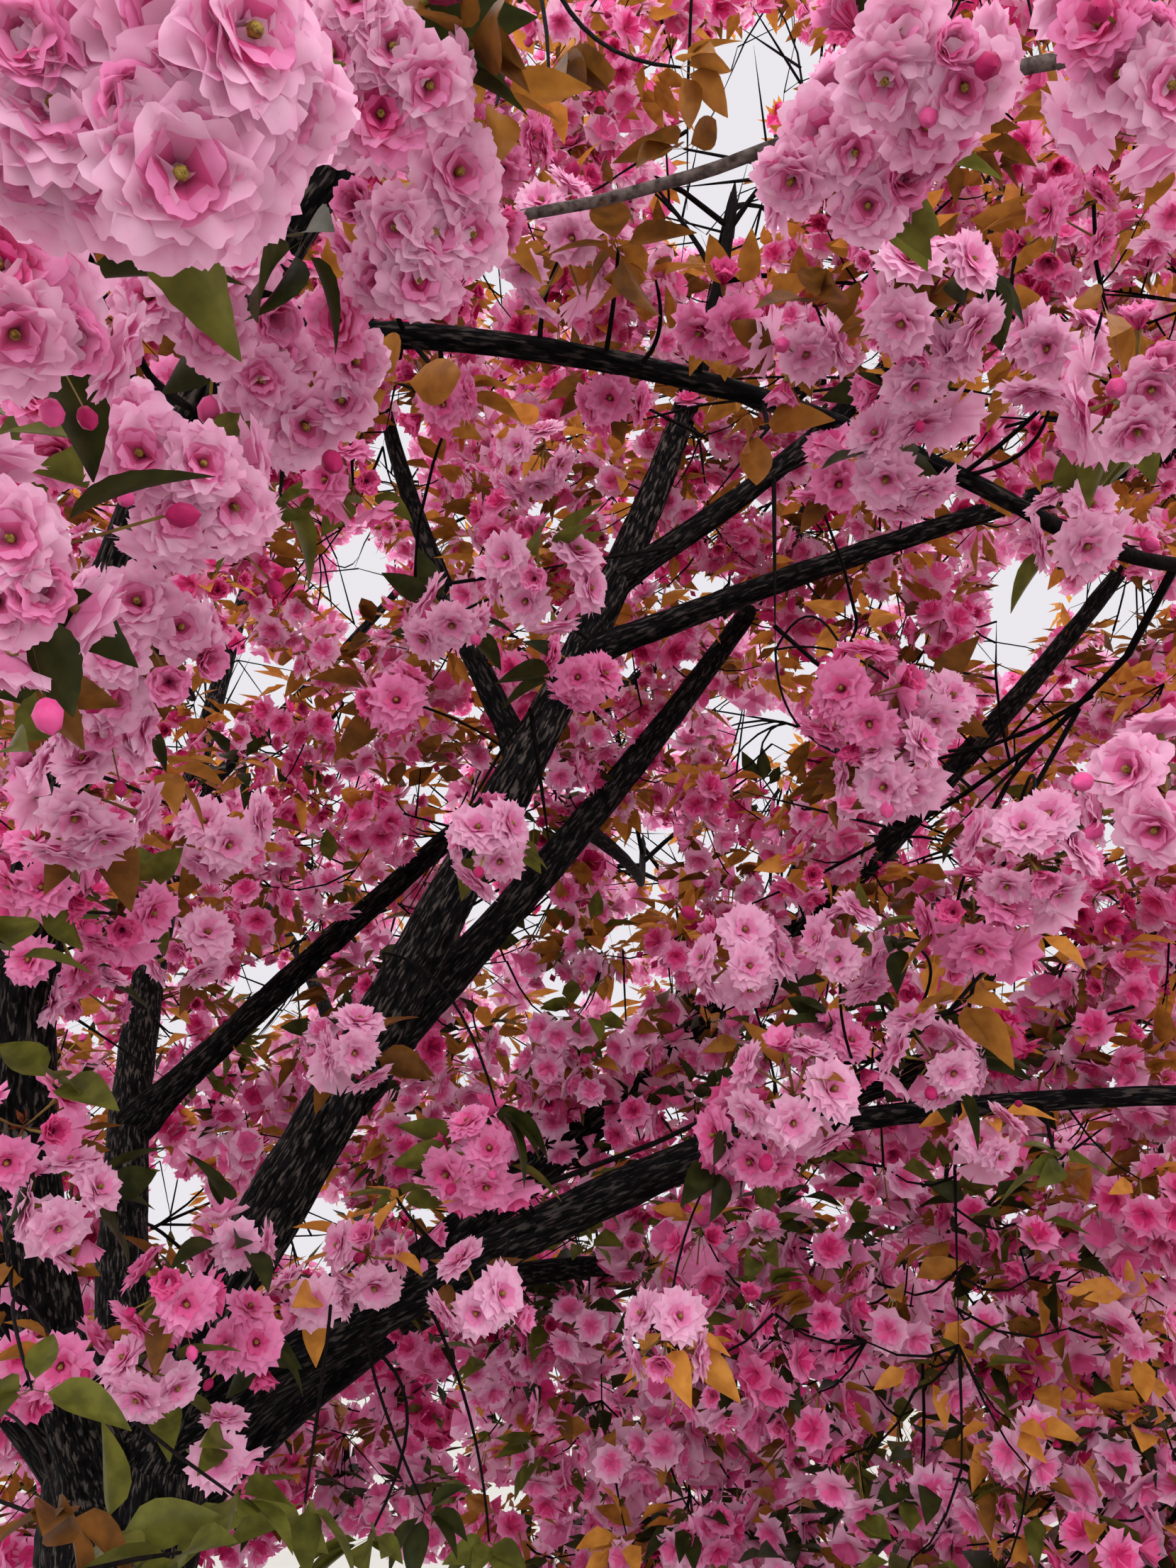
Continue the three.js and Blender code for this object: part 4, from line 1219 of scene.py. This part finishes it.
# Painted light and shade by place: sprays away from the viewer often take the orange, lit copy; close
# sprays take the dark bronze, shaded copy most
bronze_pick = RNG.choice([BRONZE, SHADED_BRONZE, LIT_ORANGE], len(spray_end), p=[0.42, 0.20, 0.38])
close_pick = RNG.choice([BRONZE, SHADED_BRONZE, GREEN], len(spray_end), p=[0.30, 0.45, 0.25])
green_pick = RNG.choice([DARK_GREEN, GREEN, SHADED_BRONZE], len(spray_end), p=[0.55, 0.3, 0.15])
close = from_eye(spray_end) < NEAR_VIEW
spray_colour = np.where(greenish, green_pick, np.where(close, close_pick, bronze_pick))

leaf_of = np.repeat(np.arange(len(spray_end)), spray_leaves)
sideways = unit(RNG.normal(0, 1, (len(leaf_of), 3)) * [1, 1, 0.5])
leaf_way = np.where(is_tuft, TUFT_ALONG, LEAF_ALONG)[leaf_of][:, None]
leaf_shy = np.where(close & ~is_tuft, LEAF_AWAY, 0)[leaf_of][:, None] * unit(spray_end - EYE)[leaf_of]
leaf_axis = unit(sideways + leaf_way * spray_heading[leaf_of] + leaf_shy + LEAF_RISE * UP)
leaf_place = spray_end[leaf_of] + leaf_axis * np.where(is_tuft, 0.0, LEAF_OUT)[leaf_of][:, None]
leaf_frames = frames_along(leaf_axis, RNG.normal(0, LEAF_ROLL, len(leaf_of)))
leaf_size = RNG.uniform(*LEAF_LENGTH, len(leaf_of))
leaf_tier = tier_of(leaf_place)
leaf_forms = [leaf_form(*detail) for detail in LEAF_DETAIL]
leaf_forms += [(FAR_LEAF, np.array([[0, 1, 2, 3]]))] * (len(TIERS) - len(leaf_forms))
for tier_index, (corners, faces) in enumerate(leaf_forms):
    for colour in range(LEAF_COLOURS):
        use = (leaf_tier == tier_index) & (spray_colour[leaf_of] == colour)
        placed = copies(corners, faces, leaf_frames[use], leaf_place[use], leaf_size[use])
        leaves[colour].add(*placed)

# Scales: a tuft of small dry bracts at the foot of each bunch that stands near
SCALES, SCALE_SIZES, SCALE_SPREAD, SCALE_ALONG = 6, (0.011, 0.019), 0.6, 0.8
scales = Heap()
near_bunch = np.flatnonzero(tier_of(bunch_end) <= LAST_NEAR_TIER)
scale_of = np.repeat(near_bunch, SCALES)
scale_spread = RNG.normal(0, SCALE_SPREAD, (len(scale_of), 3))
scale_axis = unit(bunch_heading[scale_of] * SCALE_ALONG + scale_spread)
scale_frames = frames_along(scale_axis, random_turns(len(scale_of)))
scale_size = RNG.uniform(*SCALE_SIZES, len(scale_of))
scales.add(*copies(*leaf_form(*SCALE_DETAIL), scale_frames, bunch_end[scale_of], scale_size))

# Twigs: stems, shoots, side twigs and the twigs that carry hand-set sprays
SPUR_SAG, SPUR_POINTS, SPUR_SIDES = 0.12, 4, (4, 3)
NEAR_TWIG_CLOSING = 0.7
STEM_DETAIL, SHOOT_DETAIL, SIDE_DETAIL, NEAR_DETAIL = (12, 10), (6, 4), (3, 3), (12, 8)
SHOWN_SIDES, GREY_SIDES = 8, 12
twigs = Heap()
add_curves(twigs, stems, *STEM_DETAIL)
add_curves(twigs, shoots, *SHOOT_DETAIL)
add_curves(twigs, side_shoots, *SIDE_DETAIL)
add_tubes(twigs, shown_paths[1:], shown_radii[1:], SHOWN_SIDES)
grey_twigs = Heap()
add_tubes(grey_twigs, shown_paths[:1], shown_radii[:1], GREY_SIDES)
add_curves(twigs, near_twigs + tuft_twigs, *NEAR_DETAIL, NEAR_TWIG_CLOSING)
spur_shares = np.linspace(0, 1, SPUR_POINTS)[:, None]
drawn_foot, drawn_end = all_foot[drawn], all_end[drawn]
spur_bend = SPUR_SAG * np.linalg.norm(drawn_end - drawn_foot, axis=1)[:, None, None] * UP
spur_paths = blend((drawn_foot[:, None], drawn_end[:, None]), spur_shares)
spur_paths = spur_paths - 4 * spur_bend * spur_shares * (1 - spur_shares)
spur_radii = np.tile(blend(SPUR_RADII, spur_shares[:, 0]), (len(spur_paths), 1))
near_spur = tier_of(drawn_end) <= LAST_FINE_TIER
add_tubes(twigs, spur_paths[near_spur], spur_radii[near_spur], SPUR_SIDES[0])
ends = [0, SPUR_POINTS - 1]
add_tubes(twigs, spur_paths[~near_spur][:, ends], spur_radii[~near_spur][:, ends], SPUR_SIDES[1])


# Materials: plain base colours, each varied a little in space, with a fine bump
def colour(red, green, blue):
    """A colour given from 0 to 255 as shown, for a shader."""
    shown = np.array([red, green, blue]) / 255
    return (*np.where(shown <= 0.04045, shown / 12.92, ((shown + 0.055) / 1.055) ** 2.4), 1.0)


SOFT_SHEEN, BARK_SHEEN = 0.10, 0.025
BARK_ROUGHNESS, BARK_BUMP = 0.82, 0.6
FINE_BARK_SCALE, FINE_BARK_DETAIL, PATCH_SCALE = 210, 6.0, 230
TINT_STOPS, FINE_STOPS, PATCH_STOPS = (0.36, 0.64), (0.3, 0.7), (0.52, 0.62)
BUMP_DISTANCE = 0.002
BLACK, WHITE = (0, 0, 0, 1), (1, 1, 1, 1)


def new_material(name, roughness, sheen=SOFT_SHEEN):
    """A material with its nodes, links and shader."""
    material = bpy.data.materials.new(name)
    material.use_nodes = True
    shader = material.node_tree.nodes["Principled BSDF"]
    shader.inputs["Roughness"].default_value = roughness
    shader.inputs["Specular IOR Level"].default_value = sheen
    return material, material.node_tree.nodes, material.node_tree.links, shader


def varied(nodes, links, vector, scale, places, tints, detail=3.0):
    """A colour that wanders from one tint to another with noise at a scale."""
    noise = nodes.new("ShaderNodeTexNoise")
    noise.inputs["Scale"].default_value = scale
    noise.inputs["Detail"].default_value = detail
    links.new(vector, noise.inputs["Vector"])
    ramp = nodes.new("ShaderNodeValToRGB")
    for stop, place, tint in zip(ramp.color_ramp.elements, places, tints):
        stop.position, stop.color = place, tint
    links.new(noise.outputs["Fac"], ramp.inputs["Fac"])
    return ramp.outputs["Color"], noise.outputs["Fac"]


def add_bump(nodes, links, height_socket, shader, strength):
    """A fine bump of the shader's surface by a height that varies over it."""
    bump = nodes.new("ShaderNodeBump")
    bump.inputs["Strength"].default_value = strength
    bump.inputs["Distance"].default_value = BUMP_DISTANCE
    links.new(height_socket, bump.inputs["Height"])
    links.new(bump.outputs["Normal"], shader.inputs["Normal"])


def soft_material(name, first, second, roughness, scale, bump, sheen=SOFT_SHEEN, glow=0):
    """A varied colour. A petal or leaf has a glow: it is partly seen through against the light."""
    material, nodes, links, shader = new_material(name, roughness, sheen)
    vector = nodes.new("ShaderNodeTexCoord").outputs["Object"]
    tints = (colour(*first), colour(*second))
    base, height_socket = varied(nodes, links, vector, scale, TINT_STOPS, tints)
    links.new(base, shader.inputs["Base Color"])
    if glow:
        through = nodes.new("ShaderNodeBsdfTranslucent")
        links.new(base, through.inputs["Color"])
        mix = nodes.new("ShaderNodeMixShader")
        mix.inputs["Fac"].default_value = glow
        links.new(shader.outputs["BSDF"], mix.inputs[1])
        links.new(through.outputs["BSDF"], mix.inputs[2])
        links.new(mix.outputs["Shader"], nodes["Material Output"].inputs["Surface"])
    add_bump(nodes, links, height_socket, shader, bump)
    return material


def mixed(nodes, links, share, first, second):
    """The colour that a share, which varies over the surface, mixes from two."""
    mix = nodes.new("ShaderNodeMix")
    mix.data_type = "RGBA"
    links.new(share, mix.inputs["Factor"])
    for name, tint in (("A", first), ("B", second)):
        if isinstance(tint, tuple):
            mix.inputs[name].default_value = tint
        else:
            links.new(tint, mix.inputs[name])
    return mix.outputs["Result"]


def bark_material(name, groove, ridge, patch):
    """Painted shade in the fissures, near black, and paler ridges, partly a painted highlight, by the
    mesh's relief, with pale patches and a fine grain.
    """
    material, nodes, links, shader = new_material(name, BARK_ROUGHNESS, BARK_SHEEN)
    grain = nodes.new("ShaderNodeAttribute")
    grain.attribute_name = "grain"
    relief = nodes.new("ShaderNodeAttribute")
    relief.attribute_name = "relief"
    vector = grain.outputs["Vector"]
    tints = (colour(*groove), colour(*ridge))
    fine, fine_height = varied(nodes, links, vector, FINE_BARK_SCALE, FINE_STOPS, tints, FINE_BARK_DETAIL)
    patches, _ = varied(nodes, links, vector, PATCH_SCALE, PATCH_STOPS, (BLACK, WHITE))
    lit = mixed(nodes, links, patches, fine, colour(*patch))
    # Painted shade and highlight: where the relief is low, the fissures take the near-black first colour;
    # the ridges take the paler lit colour
    shaded = mixed(nodes, links, relief.outputs["Fac"], colour(*groove), lit)
    links.new(shaded, shader.inputs["Base Color"])
    add_bump(nodes, links, fine_height, shader, BARK_BUMP)
    return material


PETAL_COLOURS = [
    ((243, 204, 228), (237, 182, 213)),
    ((241, 164, 208), (234, 144, 194)),
    ((237, 120, 178), (227, 98, 161)),
    ((222, 72, 142), (206, 50, 124)),
    ((188, 34, 102), (166, 24, 84)),
]
# The orange and dark bronze tints are lit and shaded copies of the bronze: painted light and painted
# shade
LEAF_TINTS = {
    BRONZE: ((162, 112, 46), (134, 88, 34)),
    SHADED_BRONZE: ((116, 76, 30), (86, 56, 22)),
    LIT_ORANGE: ((208, 148, 66), (182, 122, 50)),
    DARK_GREEN: ((52, 56, 24), (34, 38, 15)),
    GREEN: ((98, 100, 40), (72, 74, 28)),
}
PETAL_GLOW, LEAF_GLOW = 0.50, 0.40
petal_materials = [
    soft_material(f"petal_{n}", *tints, 0.55, 70, 0.35, glow=PETAL_GLOW)
    for n, tints in enumerate(PETAL_COLOURS)
]
leaf_materials = [
    soft_material(f"leaf_{n}", *LEAF_TINTS[n], 0.42, 55, 0.5, glow=LEAF_GLOW) for n in range(LEAF_COLOURS)
]
bud_materials = [
    soft_material("bud_deep", (168, 34, 92), (140, 24, 74), 0.5, 90, 0.3),
    soft_material("bud_rosy", (204, 84, 140), (186, 62, 120), 0.5, 90, 0.3),
]
eye_material = soft_material("flower_eye", (152, 128, 60), (96, 66, 36), 0.6, 600, 0.6)
stalk_material = soft_material("stalk", (122, 118, 48), (112, 74, 48), 0.55, 60, 0.3)
scale_material = soft_material("bud_scale", (112, 62, 34), (84, 42, 26), 0.7, 200, 0.5)
twig_material = soft_material("twig_bark", (22, 18, 18), (9, 8, 8), 0.75, 160, 0.8, BARK_SHEEN)
grey_twig_material = soft_material(
    "grey_twig_bark", (104, 96, 92), (52, 46, 44), 0.8, 120, 0.8, BARK_SHEEN
)
# The first colour of each bark is also the painted shade in its fissures
rough_bark = bark_material("rough_bark", (4, 4, 5), (26, 25, 27), (76, 71, 66))
smooth_bark = bark_material("smooth_bark", (4, 4, 5), (21, 20, 22), (56, 52, 49))

# Pieces: every kind joined, in parts under the limit, all on the one body
QUADS_A_PIECE = 90000


def add_object(name, data):
    """An object of the scene, from its data."""
    made = bpy.data.objects.new(name, data)
    bpy.context.scene.collection.objects.link(made)
    return made


def make_mesh(name, corners, faces, material, smooth=False):
    """A mesh piece of four-cornered faces, which rides on the one body."""
    mesh = bpy.data.meshes.new(name)
    mesh.vertices.add(len(corners))
    mesh.vertices.foreach_set("co", corners.astype(np.float32).ravel())
    mesh.loops.add(faces.size)
    mesh.loops.foreach_set("vertex_index", faces.astype(np.int32).ravel())
    mesh.polygons.add(len(faces))
    mesh.polygons.foreach_set("loop_start", np.arange(len(faces), dtype=np.int32) * 4)
    mesh.polygons.foreach_set("use_smooth", np.full(len(faces), smooth))
    mesh.update(calc_edges=True)
    mesh.materials.append(material)
    piece = add_object(name, mesh)
    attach(piece, "root")
    return piece


def make_pieces(name, heap, material, smooth=False):
    """The joined meshes of a heap, numbered."""
    made = []
    if not heap.count:
        return made
    corners, faces = heap.joined()
    for n, start in enumerate(range(0, len(faces), QUADS_A_PIECE)):
        used, renumbered = np.unique(faces[start:start + QUADS_A_PIECE], return_inverse=True)
        own = renumbered.reshape(-1, 4)
        made.append(make_mesh(f"{name}_{n}", corners[used], own, material, smooth))
    return made


# Bark finish by limb: ring gap, sides, relief depth, material
DEFAULT_FINISH = (0.030, 12, 0.0010, smooth_bark)
BARK_FINISH = {
    "trunk": (0.014, 56, 0.0045, rough_bark),
    "main_bough": (0.0085, 46, 0.0034, rough_bark),
    "near_bough": (0.010, 36, 0.0022, rough_bark),
    "middle_bough": (0.009, 32, 0.0016, smooth_bark),
    "leader_bough": (0.014, 30, 0.0022, rough_bark),
    "low_bough": (0.011, 30, 0.0016, smooth_bark),
    "back_right_bough": (0.014, 24, 0.0014, smooth_bark),
    "near_right_branch": (0.007, 26, 0.0010, smooth_bark),
    "right_bough": (0.010, 24, 0.0012, smooth_bark),
    "twin_bough": (0.010, 24, 0.0012, smooth_bark),
    "far_bough": (0.012, 22, 0.0014, smooth_bark),
}
for name, limb in limbs.items():
    ring_gap, sides, depth, material = BARK_FINISH.get(name, DEFAULT_FINISH)
    rows_of = bark_rows if limb.parent else trunk_rows
    rows, relief, grain = rows_of(limb, ring_gap, sides, depth)
    piece = make_mesh(
        f"{name}_bark", rows.reshape(-1, 3), ring_faces(len(rows), sides), material, True
    )
    kinds = (("relief", "FLOAT", "value", relief), ("grain", "FLOAT_VECTOR", "vector", grain))
    for title, kind, field, values in kinds:
        attribute = piece.data.attributes.new(title, kind, "POINT")
        attribute.data.foreach_set(field, values.astype(np.float32).ravel())
    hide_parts(name)

blossom_nodes = [f"{limb.name}_blossom" for limb in mass_limbs]
for n in range(SHADES):
    made = make_pieces(f"near_petals_{n}", near_petals[n], petal_materials[n], True)
    made += make_pieces(f"far_petals_{n}", far_petals[n], petal_materials[n])
    for piece in made:
        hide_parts(*blossom_nodes)
for n, heap in enumerate(leaves):
    make_pieces(f"leaves_{n}", heap, leaf_materials[n], True)
for n, heap in enumerate(buds):
    make_pieces(f"buds_{n}", heap, bud_materials[n], True)
make_pieces("flower_eyes", eyes, eye_material, True)
make_pieces("stalks", stalks, stalk_material, True)
make_pieces("bud_scales", scales, scale_material)
make_pieces("twigs", twigs, twig_material, True)
make_pieces("grey_twigs", grey_twigs, grey_twig_material, True)

# Floor: a wide plain pale disc
FLOOR_RADIUS, FLOOR_SIDES, FLOOR_DROP = 50.0, 96, 0.001
floor_mesh = bpy.data.meshes.new("floor")
floor_mesh.from_pydata(
    [(FLOOR_RADIUS * math.cos(a), FLOOR_RADIUS * math.sin(a), -FLOOR_DROP) for a in turns(FLOOR_SIDES)],
    [], [list(range(FLOOR_SIDES))],
)
floor_mesh.materials.append(soft_material("floor", (140, 138, 134), (138, 136, 132), 0.9, 2, 0.1))
floor = add_object("floor", floor_mesh)

# Light: an even pale sky, and a large soft panel behind and above the viewer
SKY_SHOWN, SKY_SHOWN_STRENGTH = (0.92, 0.90, 0.95, 1.0), 0.90
SKY_LIGHT, SKY_LIGHT_STRENGTH = (1.0, 0.98, 0.98, 1.0), 2.95
PANEL_PLACE, PANEL_SIZE, PANEL_POWER = (0.9, -6.5, 5.5), 5.0, 180
PANEL_AIM = (0.4, 0.0, 2.6)

world = bpy.data.worlds.new("sky")
bpy.context.scene.world = world
world.use_nodes = True
nodes, links = world.node_tree.nodes, world.node_tree.links
lighting = nodes["Background"]
lighting.inputs["Color"].default_value = SKY_LIGHT
lighting.inputs["Strength"].default_value = SKY_LIGHT_STRENGTH
shown = nodes.new("ShaderNodeBackground")
shown.inputs["Color"].default_value = SKY_SHOWN
shown.inputs["Strength"].default_value = SKY_SHOWN_STRENGTH
ray = nodes.new("ShaderNodeLightPath")
mix = nodes.new("ShaderNodeMixShader")
links.new(ray.outputs["Is Camera Ray"], mix.inputs["Fac"])
links.new(lighting.outputs["Background"], mix.inputs[1])
links.new(shown.outputs["Background"], mix.inputs[2])
links.new(mix.outputs["Shader"], nodes["World Output"].inputs["Surface"])

panel_data = bpy.data.lights.new("panel", "AREA")
panel_data.size = PANEL_SIZE
panel_data.energy = PANEL_POWER
panel = add_object("panel", panel_data)
panel.location = PANEL_PLACE
aim = np.array(PANEL_AIM) - PANEL_PLACE
panel.rotation_euler = (
    math.atan2(math.hypot(aim[0], aim[1]), -aim[2]), 0, math.atan2(aim[1], aim[0]) - math.pi / 2
)

# Camera: at the viewer's eye, looking up
CLIP_START, CLIP_END = 0.01, 200
camera_data = bpy.data.cameras.new("camera")
camera_data.sensor_width = SENSOR
camera_data.lens = SENSOR * PHOTO_FOCAL / PHOTO_HEIGHT
camera_data.clip_start, camera_data.clip_end = CLIP_START, CLIP_END
camera = add_object("camera", camera_data)
camera.location = EYE
camera.rotation_euler = (math.pi / 2 + PITCH, 0, 0)
bpy.context.scene.camera = camera
bpy.context.scene.view_settings.view_transform = "Standard"
